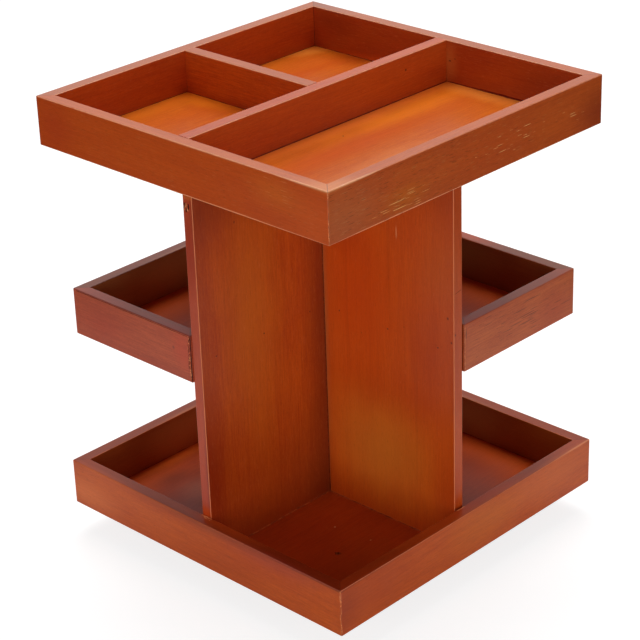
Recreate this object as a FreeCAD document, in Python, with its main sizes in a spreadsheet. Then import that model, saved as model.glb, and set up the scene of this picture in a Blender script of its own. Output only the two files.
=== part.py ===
"""Revolving wooden desk organizer: three tiers of mitred trays on a cross of upright panels.

Frame: millimetres, +Z up, origin on the desk under the turntable's axis. The corner between the
-X and -Y sides is the front, so -X is the front left side and -Y the front right side, +Y is the
back left side and +X the back right side. The left quarter is at (-X, +Y), the right at (+X, -Y).

From the desk up: rubber feet, foot board, ball-bearing turntable, base tray, cross panels with two
small trays nailed into the left and right quarters at half height, and the divided top tray.
"""
import FreeCAD, Part

import math
import os

import Sketcher

# Driving dimensions, millimetres. Each is one cell of the sheet, and its key is the cell's alias.
SIZES = {
    # foot board and its rubber feet
    "foot_board_width": 200.0,
    "foot_board_thickness": 9.0,
    "foot_board_corner_radius": 14.0,
    "foot_board_edge_radius": 1.5,
    "access_hole_radius": 6.0,
    "rubber_foot_offset": 82.0,
    "rubber_foot_radius": 8.0,
    "rubber_foot_taper": 1.5,
    "rubber_foot_height": 4.0,
    "rubber_foot_recess_radius": 4.0,
    "rubber_foot_recess_depth": 2.2,
    # ball-bearing turntable
    "turntable_width": 152.0,
    "turntable_height": 8.0,
    "plate_thickness": 1.2,
    "plate_corner_radius": 8.0,
    "race_radius": 56.0,
    "race_width": 12.0,
    "race_gap": 1.6,
    "ball_radius": 2.25,
    "ball_clearance": 0.05,
    "ball_count": 24,
    "cage_width": 10.0,
    "cage_thickness": 1.0,
    "cage_pocket_clearance": 0.1,
    "dish_radius": 34.0,
    "dish_slope_width": 11.0,
    "dish_depth": 1.9,
    "rivet_radius": 12.0,
    "rivet_wall": 1.0,
    "rivet_flange_width": 5.0,
    "rivet_flange_thickness": 1.0,
    "rivet_clearance": 0.08,
    "rivet_end_play": 0.2,
    # pan-head screws of the turntable and the feet
    "plate_screw_offset": 62.5,
    "screw_radius": 1.45,
    "screw_tip_length": 1.2,
    "screw_head_radius": 3.0,
    "screw_head_height": 1.8,
    "screw_head_round": 0.8,
    "screw_plate_clearance": 0.2,
    "screw_wood_clearance": 0.02,
    "screw_cross_width": 0.8,
    "screw_cross_length": 3.4,
    "screw_cross_depth": 0.8,
    "carousel_screw_length": 4.4,
    "foot_board_screw_length": 8.0,
    "rubber_foot_screw_length": 8.5,
    # stock that every tray is made of
    "rim_height": 33.4,
    "rim_thickness": 8.6,
    "rim_corner_radius": 1.0,
    "floor_thickness": 4.0,
    "rabbet_width": 4.3,
    "floor_clearance": 0.1,
    "edge_radius": 0.7,
    # base tray
    "base_width": 254.0,
    # cross of upright panels
    "panel_thickness": 8.2,
    "panel_height": 262.3,
    "panel_end_clearance": 0.15,
    "panel_joint_gap": 0.3,
    "long_panel_offset": 1.3,
    "front_panel_offset": -1.5,
    "front_panel_end_gap": 2.0,
    "rear_panel_offset": -0.9,
    # small trays at half height
    "small_tray_overhang": 0.85,
    "small_tray_lift": 130.5,
    "small_tray_seat_gap": 0.1,
    "left_tray_side_gap": 0.2,
    "right_tray_side_gap": 1.4,
    # top tray
    "top_width": 256.4,
    "top_rim_thickness": 8.9,
    "divider_thickness": 9.2,
    "divider_clearance": 0.1,
    "long_divider_offset": 0.0,
    "short_divider_offset": -1.5,
    # headless brads
    "brad_radius": 0.6,
    "brad_clearance": 0.02,
    "tray_brad_length": 16.0,
    "tray_brad_margin": 14.0,
    "floor_brad_length": 22.0,
    "floor_brad_margin": 18.0,
    "floor_brad_spacing": 64.0,
}

SQRT_HALF = "sqrt(0.5)"
UP = FreeCAD.Vector(0, 0, 1)


def cell(alias):
    """Expression that reads one cell of the sheet."""
    return f"Sizes.{alias}"


# Heights of the stack above the desk.
BOARD_BOTTOM = cell("rubber_foot_height")
BOARD_TOP = f"({BOARD_BOTTOM} + Sizes.foot_board_thickness)"
BASE_BOTTOM = f"({BOARD_TOP} + Sizes.turntable_height)"
BASE_FLOOR_TOP = f"({BASE_BOTTOM} + Sizes.floor_thickness)"
TOP_BOTTOM = f"({BASE_FLOOR_TOP} + Sizes.panel_height)"
TOP_FLOOR_TOP = f"({TOP_BOTTOM} + Sizes.floor_thickness)"
TRAY_BOTTOM = f"({BASE_BOTTOM} + Sizes.small_tray_lift)"
TRAY_MIDDLE = f"({TRAY_BOTTOM} + Sizes.rim_height / 2)"

# Faces of the cross panels.
HALF_PANEL = "Sizes.panel_thickness / 2"
LONG_FRONT_Y = f"(Sizes.long_panel_offset - {HALF_PANEL})"
LONG_BACK_Y = f"(Sizes.long_panel_offset + {HALF_PANEL})"
FRONT_LEFT_X = f"(Sizes.front_panel_offset - {HALF_PANEL})"
FRONT_RIGHT_X = f"(Sizes.front_panel_offset + {HALF_PANEL})"
REAR_LEFT_X = f"(Sizes.rear_panel_offset - {HALF_PANEL})"
REAR_RIGHT_X = f"(Sizes.rear_panel_offset + {HALF_PANEL})"
BASE_INNER_HALF = "(Sizes.base_width / 2 - Sizes.rim_thickness)"
LONG_LEFT_X = f"(Sizes.panel_end_clearance - {BASE_INNER_HALF})"
LONG_LENGTH = f"(2 * ({BASE_INNER_HALF} - Sizes.panel_end_clearance))"
FRONT_NEAR_Y = f"(Sizes.front_panel_end_gap - {BASE_INNER_HALF})"
FRONT_LENGTH = f"({LONG_FRONT_Y} - Sizes.panel_joint_gap - {FRONT_NEAR_Y})"
REAR_NEAR_Y = f"({LONG_BACK_Y} + Sizes.panel_joint_gap)"
REAR_LENGTH = f"({BASE_INNER_HALF} - Sizes.panel_end_clearance - {REAR_NEAR_Y})"

# Outer corner of each small tray that has the lowest X and Y. The trays are as wide as the left
# one has room for between the rear panel and its overhang past the long panel's end.
LEFT_TRAY_X = f"({LONG_LEFT_X} - Sizes.small_tray_overhang)"
LEFT_TRAY_Y = f"({LONG_BACK_Y} + Sizes.left_tray_side_gap)"
SMALL_TRAY_WIDTH = f"({REAR_LEFT_X} - Sizes.small_tray_seat_gap - {LEFT_TRAY_X})"
RIGHT_TRAY_X = f"({FRONT_RIGHT_X} + Sizes.right_tray_side_gap)"
RIGHT_TRAY_Y = f"({LONG_FRONT_Y} - Sizes.small_tray_seat_gap - {SMALL_TRAY_WIDTH})"

# Distances of the brads from one end of a small tray's side.
TRAY_BRAD_STATIONS = [
    cell("tray_brad_margin"),
    f"{SMALL_TRAY_WIDTH} / 2",
    f"{SMALL_TRAY_WIDTH} - Sizes.tray_brad_margin",
]

# The four sides of a tray, each a quarter turn on from the one before.
TRAY_SIDES = ["front_right", "back_right", "back_left", "front_left"]

doc = FreeCAD.newDocument("desk_organizer")
sheet = doc.addObject("Spreadsheet::Sheet", "Sizes")
nodes = []


def fill_sheet():
    """Writes each driving dimension as text into its own cell and gives the cell its alias."""
    for row, (alias, number) in enumerate(SIZES.items(), start=1):
        sheet.set(f"A{row}", str(number))
        sheet.setAlias(f"A{row}", alias)
    doc.recompute()


def value(expression):
    """Number that an expression of the sheet's cells comes to."""
    return float(sheet.evalExpression(expression))


def bind(target, prop, expression):
    """Ties a property to an expression of the sheet's cells."""
    target.setExpression(prop, expression)


def place(target, x, y, z, turn=0.0, axis=UP):
    """Turns an object about an axis, then ties its position to three expressions."""
    target.Placement = FreeCAD.Placement(FreeCAD.Vector(), FreeCAD.Rotation(axis, turn))
    for name, expression in zip("xyz", (x, y, z)):
        bind(target, f"Placement.Base.{name}", expression)


def add_node(part_object):
    """Registers a finished sub-part for export."""
    nodes.append(part_object)
    return part_object


def add_body(name):
    """New PartDesign body with its own label."""
    body = doc.addObject("PartDesign::Body", name)
    body.Label = name
    return body


def add_sketch(body, role, lift="0"):
    """Sketch on one of the body's own origin planes, lifted along the plane's normal."""
    plane = next(item for item in body.Origin.OriginFeatures if item.Role == role)
    sketch = body.newObject("Sketcher::SketchObject", f"{body.Name}_sketch")
    sketch.AttachmentSupport = (plane, [""])
    sketch.MapMode = "FlatFace"
    bind(sketch, "AttachmentOffset.Base.z", lift)
    return sketch


def fix_point(sketch, geometry, position, x, y):
    """Fixes a point of the sketch at two expressions, measured from the origin."""
    for kind, axis, expression in (("DistanceX", -2, x), ("DistanceY", -1, y)):
        if expression == "0":
            sketch.addConstraint(Sketcher.Constraint("PointOnObject", geometry, position, axis))
            continue
        distance = Sketcher.Constraint(kind, -1, 1, geometry, position, value(expression))
        bind(sketch, f"Constraints[{sketch.addConstraint(distance)}]", expression)


def fix_radius(sketch, geometry, expression):
    """Ties the radius of a circle or an arc to an expression."""
    radius = Sketcher.Constraint("Radius", geometry, value(expression))
    bind(sketch, f"Constraints[{sketch.addConstraint(radius)}]", expression)


def add_outline(sketch, corners):
    """Closed outline through corners given as (x, y) or (x, y, radius, bulge).

    A corner with a radius starts an arc to the next corner. The arc's centre lies to the left of
    its chord where bulge is 1, and to the right where it is -1.
    """
    points = [FreeCAD.Vector(value(corner[0]), value(corner[1]), 0) for corner in corners]
    edges = []
    for index, corner in enumerate(corners):
        start, end = points[index], points[(index + 1) % len(points)]
        if len(corner) == 2:
            edges.append((sketch.addGeometry(Part.LineSegment(start, end), False), 1, 2))
            continue
        chord = end - start
        radius, bulge = value(corner[2]), corner[3]
        rise = math.sqrt(max(radius ** 2 - (chord.Length / 2) ** 2, 0.0))
        left = FreeCAD.Vector(-chord.y, chord.x, 0).normalize()
        centre = start + chord * 0.5 + left * (rise * bulge)
        first, last = (start, end) if bulge > 0 else (end, start)
        angles = [math.atan2(point.y - centre.y, point.x - centre.x) for point in (first, last)]
        circle = Part.Circle(centre, UP, radius)
        arc = sketch.addGeometry(Part.ArcOfCircle(circle, *angles), False)
        edges.append((arc, 1, 2) if bulge > 0 else (arc, 2, 1))
    for index, (geometry, start, end) in enumerate(edges):
        following, its_start, _ = edges[(index + 1) % len(edges)]
        sketch.addConstraint(
            Sketcher.Constraint("Coincident", geometry, end, following, its_start))
        fix_point(sketch, geometry, start, *corners[index][:2])
        if len(corners[index]) > 2:
            fix_radius(sketch, geometry, corners[index][2])
    return sketch


def add_rectangle(sketch, x0, y0, x1, y1):
    """Rectangle between two corners, each given as expressions."""
    return add_outline(sketch, [(x0, y0), (x1, y0), (x1, y1), (x0, y1)])


def add_circles(sketch, centres, radius):
    """Circles of one radius at several centres."""
    for x, y in centres:
        centre = FreeCAD.Vector(value(x), value(y), 0)
        circle = sketch.addGeometry(Part.Circle(centre, UP, value(radius)), False)
        fix_point(sketch, circle, 3, x, y)
        fix_radius(sketch, circle, radius)
    return sketch


def pad(body, sketch, length):
    """Pads a sketch along its normal by an expression."""
    feature = body.newObject("PartDesign::Pad", f"{body.Name}_pad")
    feature.Profile = sketch
    bind(feature, "Length", length)
    doc.recompute()
    return feature


def pocket(body, sketch, depth, along_normal=False):
    """Cuts a sketch out of the body, against the sketch's normal or along it."""
    before = body.Shape.Volume
    feature = body.newObject("PartDesign::Pocket", f"{body.Name}_pocket")
    feature.Profile = sketch
    feature.Reversed = along_normal
    bind(feature, "Length", depth)
    doc.recompute()
    if not body.Shape.Volume < before:
        raise RuntimeError(f"{body.Label}: a pocket cuts nothing")
    return feature


def revolve(body, sketch):
    """Turns a profile in the XZ plane once around the vertical axis."""
    feature = body.newObject("PartDesign::Revolution", f"{body.Name}_revolution")
    feature.Profile = sketch
    feature.ReferenceAxis = (sketch, ["V_Axis"])
    feature.Angle = 360.0
    doc.recompute()
    return feature


def repeat_around_axis(body, feature, count):
    """Polar pattern of one feature about the body's vertical axis."""
    pattern = body.newObject("PartDesign::PolarPattern", f"{body.Name}_pattern")
    pattern.Originals = [feature]
    axis = next(item for item in body.Origin.OriginFeatures if item.Role == "Z_Axis")
    pattern.Axis = (axis, [""])
    pattern.Angle = 360.0
    bind(pattern, "Occurrences", count)
    body.Tip = pattern
    doc.recompute()
    return pattern


def ease_edges(body, radius, wanted):
    """Rounds the edges of the body's local shape that a test picks."""
    tip = body.Tip
    names = [f"Edge{number}" for number, edge in enumerate(tip.Shape.Edges, start=1) if wanted(edge)]
    if not names:
        raise RuntimeError(f"{body.Label}: no edge to round")
    feature = body.newObject("PartDesign::Fillet", f"{body.Name}_fillet")
    feature.Base = (tip, names)
    bind(feature, "Radius", radius)
    doc.recompute()
    return feature


def as_tall_as(height):
    """Test for the upright edges that run the whole of a height."""
    tall = 0.99 * value(height)
    return lambda edge: edge.BoundBox.ZLength > tall


def group(name, members):
    """One sub-part made of several separate solids."""
    compound = doc.addObject("Part::Compound", name)
    compound.Label = name
    compound.Links = members
    return add_node(compound)


# ---------------------------------------------------------------- boards, rims and trays

def build_board(name, size, corner, drilled=()):
    """Flat board with its lowest corner at corner; drilled lists (plane, lift, centres, depth)."""
    body = add_body(name)
    pad(body, add_rectangle(add_sketch(body, "XY_Plane"), "0", "0", size[0], size[1]), size[2])
    hole = "Sizes.brad_radius + Sizes.brad_clearance"
    for plane, lift, centres, depth, along_normal in drilled:
        pocket(body, add_circles(add_sketch(body, plane, lift), centres, hole), depth, along_normal)
    place(body, *corner)
    return add_node(body)


def build_rim(name, length, thickness, corner, turn, gap=None):
    """Mitred side of a tray, with a rabbet for the floor and eased edges.

    In its own frame the side runs along X with its outer face at Y = 0 and its bottom at Z = 0.
    A side that is nailed to a panel is drilled, and gap is the space between the two.
    """
    body = add_body(name)
    radius = cell("rim_corner_radius")
    near = f"{radius} * (1 - {SQRT_HALF})"
    outline = [
        (radius, "0"),
        (f"{length} - {radius}", "0", radius, 1),
        (f"{length} - {near}", near),
        (f"{length} - {thickness}", thickness),
        (thickness, thickness),
        (near, near, radius, 1),
    ]
    pad(body, add_outline(add_sketch(body, "XY_Plane"), outline), cell("rim_height"))
    rabbet = add_rectangle(
        add_sketch(body, "XY_Plane"), "0", f"{thickness} - Sizes.rabbet_width", length, thickness)
    pocket(body, rabbet, cell("floor_thickness"), along_normal=True)
    if gap:
        centres = [(station, "Sizes.rim_height / 2") for station in TRAY_BRAD_STATIONS]
        holes = add_circles(
            add_sketch(body, "XZ_Plane"), centres, "Sizes.brad_radius + Sizes.brad_clearance")
        reach = f"Sizes.tray_brad_length - Sizes.panel_thickness - {gap}"
        pocket(body, holes, f"{reach} + Sizes.brad_clearance")
    height = value(cell("rim_height"))
    middle = value(thickness) / 2

    def runs_along_the_side(edge):
        box = edge.BoundBox
        on_top = box.ZMin > 0.999 * height
        on_outer_bottom = box.ZMax < 0.001 and box.YMax < middle
        mitre = box.XLength > 0.99 * box.YLength and box.YLength > middle
        return (on_top or on_outer_bottom) and not mitre

    ease_edges(body, cell("edge_radius"), runs_along_the_side)
    place(body, *corner, turn)
    return add_node(body)


def build_rims(prefix, width, thickness, corner, bottom, nailed=None):
    """Four mitred sides of a square tray; nailed gives the gap behind each nailed side."""
    near_x, near_y = corner
    far_x, far_y = f"{near_x} + {width}", f"{near_y} + {width}"
    starts = [(near_x, near_y), (far_x, near_y), (far_x, far_y), (near_x, far_y)]
    for quarter, (side, start) in enumerate(zip(TRAY_SIDES, starts)):
        gap = (nailed or {}).get(side)
        build_rim(f"{prefix}_rim_{side}", width, thickness, (*start, bottom), 90.0 * quarter, gap)


def floor_inset(thickness):
    """Distance from a tray's outer face to the edge of its floor."""
    return f"({thickness} - Sizes.rabbet_width + Sizes.floor_clearance)"


def build_floor(name, width, thickness, corner, bottom, drilled=()):
    """Floor panel that lies in the rabbets of its tray's sides."""
    inset = floor_inset(thickness)
    size = f"({width} - 2 * {inset})"
    origin = (f"{corner[0]} + {inset}", f"{corner[1]} + {inset}", bottom)
    return build_board(name, (size, size, cell("floor_thickness")), origin, drilled)


def panel_stations(start, length):
    """Two brads near each end of a panel, given in the world along the panel."""
    margin, spacing = cell("floor_brad_margin"), cell("floor_brad_spacing")
    return [
        f"{start} + {margin}",
        f"{start} + {margin} + {spacing}",
        f"{start} + {length} - {margin} - {spacing}",
        f"{start} + {length} - {margin}",
    ]


def floor_brad_places():
    """World X and Y of the brads that hold the panels, under their own panel's name."""
    long_y = cell("long_panel_offset")
    front = panel_stations(FRONT_NEAR_Y, FRONT_LENGTH)
    rear = panel_stations(REAR_NEAR_Y, REAR_LENGTH)
    return {
        "long_panel": [(x, long_y) for x in panel_stations(LONG_LEFT_X, LONG_LENGTH)],
        "front_panel": [(cell("front_panel_offset"), y) for y in (front[0], front[3])],
        "rear_panel": [(cell("rear_panel_offset"), y) for y in (rear[0], rear[3])],
    }


def shifted(places, origin):
    """World places measured from a board's own corner."""
    return [(f"({x}) - ({origin[0]})", f"({y}) - ({origin[1]})") for x, y in places]


def build_brad(name, x, y, z, turn, axis, length):
    """Headless brad that starts at a point and runs along the turned Z axis."""
    brad = doc.addObject("Part::Cylinder", name)
    bind(brad, "Radius", cell("brad_radius"))
    bind(brad, "Height", length)
    place(brad, x, y, z, turn, axis)
    return brad


# ---------------------------------------------------------------- screws and feet

def build_screw(name, length, x, y, z, turn=0.0):
    """Pan-head screw: seat of the head at its own Z = 0, shank downwards."""
    body = add_body(name)
    shank, head = cell("screw_radius"), cell("screw_head_radius")
    profile = [
        ("0", f"-({length})"),
        (shank, f"-({length}) + Sizes.screw_tip_length"),
        (shank, "0"),
        (head, "0"),
        (head, "Sizes.screw_head_height - Sizes.screw_head_round", cell("screw_head_round"), 1),
        (f"{head} - Sizes.screw_head_round", cell("screw_head_height")),
        ("0", cell("screw_head_height")),
    ]
    revolve(body, add_outline(add_sketch(body, "XZ_Plane"), profile))
    half_width, half_length = "Sizes.screw_cross_width / 2", "Sizes.screw_cross_length / 2"
    for half_x, half_y in ((half_length, half_width), (half_width, half_length)):
        slot = add_rectangle(
            add_sketch(body, "XY_Plane", cell("screw_head_height")),
            f"-({half_x})", f"-({half_y})", half_x, half_y)
        pocket(body, slot, cell("screw_cross_depth"))
    place(body, x, y, z, turn, FreeCAD.Vector(1, 0, 0))
    return body


def square_of(offset):
    """Four places at plus and minus one offset, with the name of each corner."""
    return [
        ("front", f"-({offset})", f"-({offset})"),
        ("left", f"-({offset})", offset),
        ("back", offset, offset),
        ("right", offset, f"-({offset})"),
    ]


def build_stand():
    """Foot board, rubber feet and the screws in them."""
    body = add_body("foot_board")
    half, radius = "Sizes.foot_board_width / 2", cell("foot_board_corner_radius")
    outline = [
        (f"{radius} - {half}", f"-({half})"),
        (f"{half} - {radius}", f"-({half})", radius, 1),
        (half, f"{radius} - {half}"),
        (half, f"{half} - {radius}", radius, 1),
        (f"{half} - {radius}", half),
        (f"{radius} - {half}", half, radius, 1),
        (f"-({half})", f"{half} - {radius}"),
        (f"-({half})", f"{radius} - {half}", radius, 1),
    ]
    pad(body, add_outline(add_sketch(body, "XY_Plane"), outline), cell("foot_board_thickness"))
    thickness = value(cell("foot_board_thickness"))
    ease_edges(
        body, cell("foot_board_edge_radius"), lambda edge: edge.BoundBox.ZMin > 0.999 * thickness)
    screw_circle = "Sizes.plate_screw_offset * sqrt(2)"
    access = add_circles(
        add_sketch(body, "XY_Plane"), [(screw_circle, "0")], cell("access_hole_radius"))
    pocket(body, access, cell("foot_board_thickness"), along_normal=True)
    hole = "Sizes.screw_radius + Sizes.screw_wood_clearance"
    plate_places = [(x, y) for _, x, y in square_of(cell("plate_screw_offset"))]
    plate_holes = add_circles(
        add_sketch(body, "XY_Plane", cell("foot_board_thickness")), plate_places, hole)
    pocket(body, plate_holes, "Sizes.foot_board_screw_length - Sizes.plate_thickness")
    foot_places = [(x, y) for _, x, y in square_of(cell("rubber_foot_offset"))]
    foot_web = "(Sizes.rubber_foot_height - Sizes.rubber_foot_recess_depth)"
    foot_holes = add_circles(add_sketch(body, "XY_Plane"), foot_places, hole)
    pocket(body, foot_holes, f"Sizes.rubber_foot_screw_length - {foot_web}", along_normal=True)
    place(body, "0", "0", BOARD_BOTTOM)
    add_node(body)

    screws = []
    for corner, x, y in square_of(cell("rubber_foot_offset")):
        build_rubber_foot(f"rubber_foot_{corner}", x, y)
        screws.append(build_screw(
            f"foot_screw_{corner}", cell("rubber_foot_screw_length"),
            x, y, cell("rubber_foot_recess_depth"), turn=180))
    group("foot_screws", screws)


def build_rubber_foot(name, x, y):
    """Tapered rubber foot with a recess for the screw's head."""
    body = add_body(name)
    outer, recess = cell("rubber_foot_radius"), cell("rubber_foot_recess_radius")
    hole = "Sizes.screw_radius + Sizes.screw_plate_clearance"
    profile = [
        (recess, "0"),
        (f"{outer} - Sizes.rubber_foot_taper", "0"),
        (outer, cell("rubber_foot_height")),
        (hole, cell("rubber_foot_height")),
        (hole, cell("rubber_foot_recess_depth")),
        (recess, cell("rubber_foot_recess_depth")),
    ]
    revolve(body, add_outline(add_sketch(body, "XZ_Plane"), profile))
    place(body, x, y, "0")
    add_node(body)


# ---------------------------------------------------------------- turntable

def build_plate(name, centre_hole, height, turn):
    """Stamped turntable plate, its mounting face at its own Z = 0 and the race above it."""
    body = add_body(name)
    half, radius = "Sizes.turntable_width / 2", cell("plate_corner_radius")
    thickness = cell("plate_thickness")
    pad(body, add_rectangle(
        add_sketch(body, "XY_Plane"), f"-({half})", f"-({half})", half, half), thickness)
    ease_edges(body, radius, as_tall_as(thickness))
    rim = "(Sizes.dish_radius + Sizes.dish_slope_width)"
    pocket(body, add_circles(add_sketch(body, "XY_Plane"), [("0", "0")], rim), thickness, True)

    dish_top = f"(Sizes.dish_depth + {thickness})"
    dish = [
        (f"{rim} + {thickness}", "0"),
        (f"{rim} + {thickness}", thickness),
        (rim, thickness),
        (cell("dish_radius"), dish_top),
        (centre_hole, dish_top),
        (centre_hole, cell("dish_depth")),
        (f"Sizes.dish_radius - {thickness} / 2", cell("dish_depth")),
        (f"{rim} - {thickness} / 2", "0"),
    ]
    revolve(body, add_outline(add_sketch(body, "XZ_Plane"), dish))

    middle = "Sizes.turntable_height / 2"
    race_top = f"({middle} - Sizes.race_gap / 2)"
    groove = "(Sizes.ball_radius + Sizes.ball_clearance)"
    mouth = f"sqrt(({groove}) ^ 2 - (Sizes.race_gap / 2) ^ 2)"
    inner, outer = ("(Sizes.race_radius - Sizes.race_width / 2)",
                    "(Sizes.race_radius + Sizes.race_width / 2)")
    race = [
        (inner, f"{thickness} / 2"),
        (outer, f"{thickness} / 2"),
        (outer, race_top),
        (f"Sizes.race_radius + {mouth}", race_top, groove, -1),
        (f"Sizes.race_radius - {mouth}", race_top),
        (inner, race_top),
    ]
    revolve(body, add_outline(add_sketch(body, "XZ_Plane"), race))

    offset = cell("plate_screw_offset")
    first = pocket(body, add_circles(
        add_sketch(body, "XY_Plane"), [(offset, offset)],
        "Sizes.screw_radius + Sizes.screw_plate_clearance"), thickness, True)
    repeat_around_axis(body, first, "4")
    place(body, "0", "0", height, turn, FreeCAD.Vector(1, 0, 0))
    return add_node(body)


def build_turntable():
    """Two stamped plates on a ring of caged balls, held together by a hollow rivet."""
    build_plate("turntable_lower_plate", "Sizes.rivet_radius + Sizes.rivet_clearance", BOARD_TOP, 0)
    build_plate("turntable_upper_plate", cell("rivet_radius"), BASE_BOTTOM, 180)

    rivet = add_body("centre_rivet")
    play, flange = cell("rivet_end_play"), cell("rivet_flange_thickness")
    bore = "(Sizes.rivet_radius - Sizes.rivet_wall)"
    brim = "(Sizes.rivet_radius + Sizes.rivet_flange_width)"
    low_seat = f"(Sizes.dish_depth - {play})"
    high_seat = "(Sizes.turntable_height - Sizes.dish_depth)"
    profile = [
        (bore, f"{low_seat} - {flange}"),
        (brim, f"{low_seat} - {flange}"),
        (brim, low_seat),
        (cell("rivet_radius"), low_seat),
        (cell("rivet_radius"), high_seat),
        (brim, high_seat),
        (brim, f"{high_seat} + {flange}"),
        (bore, f"{high_seat} + {flange}"),
    ]
    revolve(rivet, add_outline(add_sketch(rivet, "XZ_Plane"), profile))
    place(rivet, "0", "0", BOARD_TOP)
    add_node(rivet)

    middle = f"({BOARD_TOP} + Sizes.turntable_height / 2)"
    cage = add_body("ball_cage")
    ring = add_sketch(cage, "XY_Plane")
    for sign in ("+", "-"):
        add_circles(ring, [("0", "0")], f"Sizes.race_radius {sign} Sizes.cage_width / 2")
    pad(cage, ring, cell("cage_thickness"))
    seat = add_circles(
        add_sketch(cage, "XY_Plane"), [(cell("race_radius"), "0")],
        "Sizes.ball_radius + Sizes.cage_pocket_clearance")
    first = pocket(cage, seat, cell("cage_thickness"), along_normal=True)
    repeat_around_axis(cage, first, cell("ball_count"))
    place(cage, "0", "0", f"{middle} - Sizes.cage_thickness / 2")
    add_node(cage)

    balls = []
    for index in range(int(SIZES["ball_count"])):
        angle = f"({index} * 360 / Sizes.ball_count)"
        ball = doc.addObject("Part::Sphere", "bearing_ball")
        bind(ball, "Radius", cell("ball_radius"))
        place(ball, f"Sizes.race_radius * cos({angle})", f"Sizes.race_radius * sin({angle})", middle)
        balls.append(ball)
    group("bearing_balls", balls)

    lower, upper = [], []
    for corner, x, y in square_of(cell("plate_screw_offset")):
        lower.append(build_screw(
            f"lower_screw_{corner}", cell("foot_board_screw_length"),
            x, y, f"{BOARD_TOP} + Sizes.plate_thickness"))
        upper.append(build_screw(
            f"upper_screw_{corner}", cell("carousel_screw_length"),
            x, y, f"{BASE_BOTTOM} - Sizes.plate_thickness", turn=180))
    group("lower_plate_screws", lower)
    group("upper_plate_screws", upper)


# ---------------------------------------------------------------- carousel

def build_base():
    """Base tray: drilled floor and four mitred sides."""
    width, thickness = cell("base_width"), cell("rim_thickness")
    corner = (f"-({width} / 2)", f"-({width} / 2)")
    inset = floor_inset(thickness)
    origin = (f"{corner[0]} + {inset}", f"{corner[1]} + {inset}")
    brads = [place_xy for group_ in floor_brad_places().values() for place_xy in group_]
    floor = build_floor("base_floor", width, thickness, corner, BASE_BOTTOM, [
        ("XY_Plane", "0", shifted(brads, origin), cell("floor_thickness"), True)])
    screws = [(x, y) for _, x, y in square_of(cell("plate_screw_offset"))]
    holes = add_circles(
        add_sketch(floor, "XY_Plane"), shifted(screws, origin),
        "Sizes.screw_radius + Sizes.screw_wood_clearance")
    pocket(floor, holes, cell("floor_thickness"), along_normal=True)
    build_rims("base", width, thickness, corner, BASE_BOTTOM)


def build_cross():
    """Through panel along X and the two half panels that butt against it."""
    height, thickness = cell("panel_height"), cell("panel_thickness")
    bite = "(Sizes.floor_brad_length - Sizes.floor_thickness)"
    places = floor_brad_places()
    tray_z = f"{TRAY_MIDDLE} - {BASE_FLOOR_TOP}"
    left_x = [f"{LEFT_TRAY_X} + {station}" for station in TRAY_BRAD_STATIONS]
    right_x = [f"{RIGHT_TRAY_X} + {station}" for station in TRAY_BRAD_STATIONS]
    left_y = [f"{LEFT_TRAY_Y} + {station}" for station in TRAY_BRAD_STATIONS]
    right_y = [f"{RIGHT_TRAY_Y} + {station}" for station in TRAY_BRAD_STATIONS]

    panels = {
        "long_panel": ((LONG_LEFT_X, LONG_FRONT_Y), (LONG_LENGTH, thickness),
                       "XZ_Plane", 0, left_x + right_x, False),
        "front_panel": ((FRONT_LEFT_X, FRONT_NEAR_Y), (thickness, FRONT_LENGTH),
                        "YZ_Plane", 1, right_y, True),
        "rear_panel": ((REAR_LEFT_X, REAR_NEAR_Y), (thickness, REAR_LENGTH),
                       "YZ_Plane", 1, left_y, True),
    }
    for name, (corner, size, side_plane, axis, stations, along_normal) in panels.items():
        ends = shifted(places[name], corner)
        sides = [(f"{station} - {corner[axis]}", tray_z) for station in stations]
        body = build_board(name, (*size, height), (*corner, BASE_FLOOR_TOP), [
            ("XY_Plane", "0", ends, bite, True),
            ("XY_Plane", height, ends, bite, False),
            (side_plane, "0", sides, thickness, along_normal),
        ])
        ease_edges(body, cell("edge_radius"), as_tall_as(height))

    top_brads, base_brads, tray_brads = [], [], []
    length = cell("floor_brad_length")
    for name, spots in places.items():
        for x, y in spots:
            top_brads.append(build_brad(
                "top_brad", x, y, f"{TOP_FLOOR_TOP} - {length}", 0, UP, length))
            base_brads.append(build_brad("base_brad", x, y, BASE_BOTTOM, 0, UP, length))
    length = cell("tray_brad_length")
    along_x, along_y = FreeCAD.Vector(0, 1, 0), FreeCAD.Vector(-1, 0, 0)
    for x in left_x:
        tray_brads.append(build_brad("tray_brad", x, LONG_FRONT_Y, TRAY_MIDDLE, 90, along_y, length))
    for x in right_x:
        tray_brads.append(build_brad("tray_brad", x, LONG_BACK_Y, TRAY_MIDDLE, -90, along_y, length))
    for y in right_y:
        tray_brads.append(build_brad("tray_brad", FRONT_LEFT_X, y, TRAY_MIDDLE, 90, along_x, length))
    for y in left_y:
        tray_brads.append(build_brad("tray_brad", REAR_RIGHT_X, y, TRAY_MIDDLE, -90, along_x, length))
    group("base_floor_brads", base_brads)
    group("top_floor_brads", top_brads)
    group("tray_brads", tray_brads)


def build_small_trays():
    """Trays nailed to the panels in the left and right quarters."""
    width, thickness = SMALL_TRAY_WIDTH, cell("rim_thickness")
    seat = cell("small_tray_seat_gap")
    trays = {
        "left_tray": ((LEFT_TRAY_X, LEFT_TRAY_Y),
                      {"front_right": cell("left_tray_side_gap"), "back_right": seat}),
        "right_tray": ((RIGHT_TRAY_X, RIGHT_TRAY_Y),
                       {"front_left": cell("right_tray_side_gap"), "back_left": seat}),
    }
    for name, (corner, nailed) in trays.items():
        build_floor(f"{name}_floor", width, thickness, corner, TRAY_BOTTOM)
        build_rims(name, width, thickness, corner, TRAY_BOTTOM, nailed)


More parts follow.
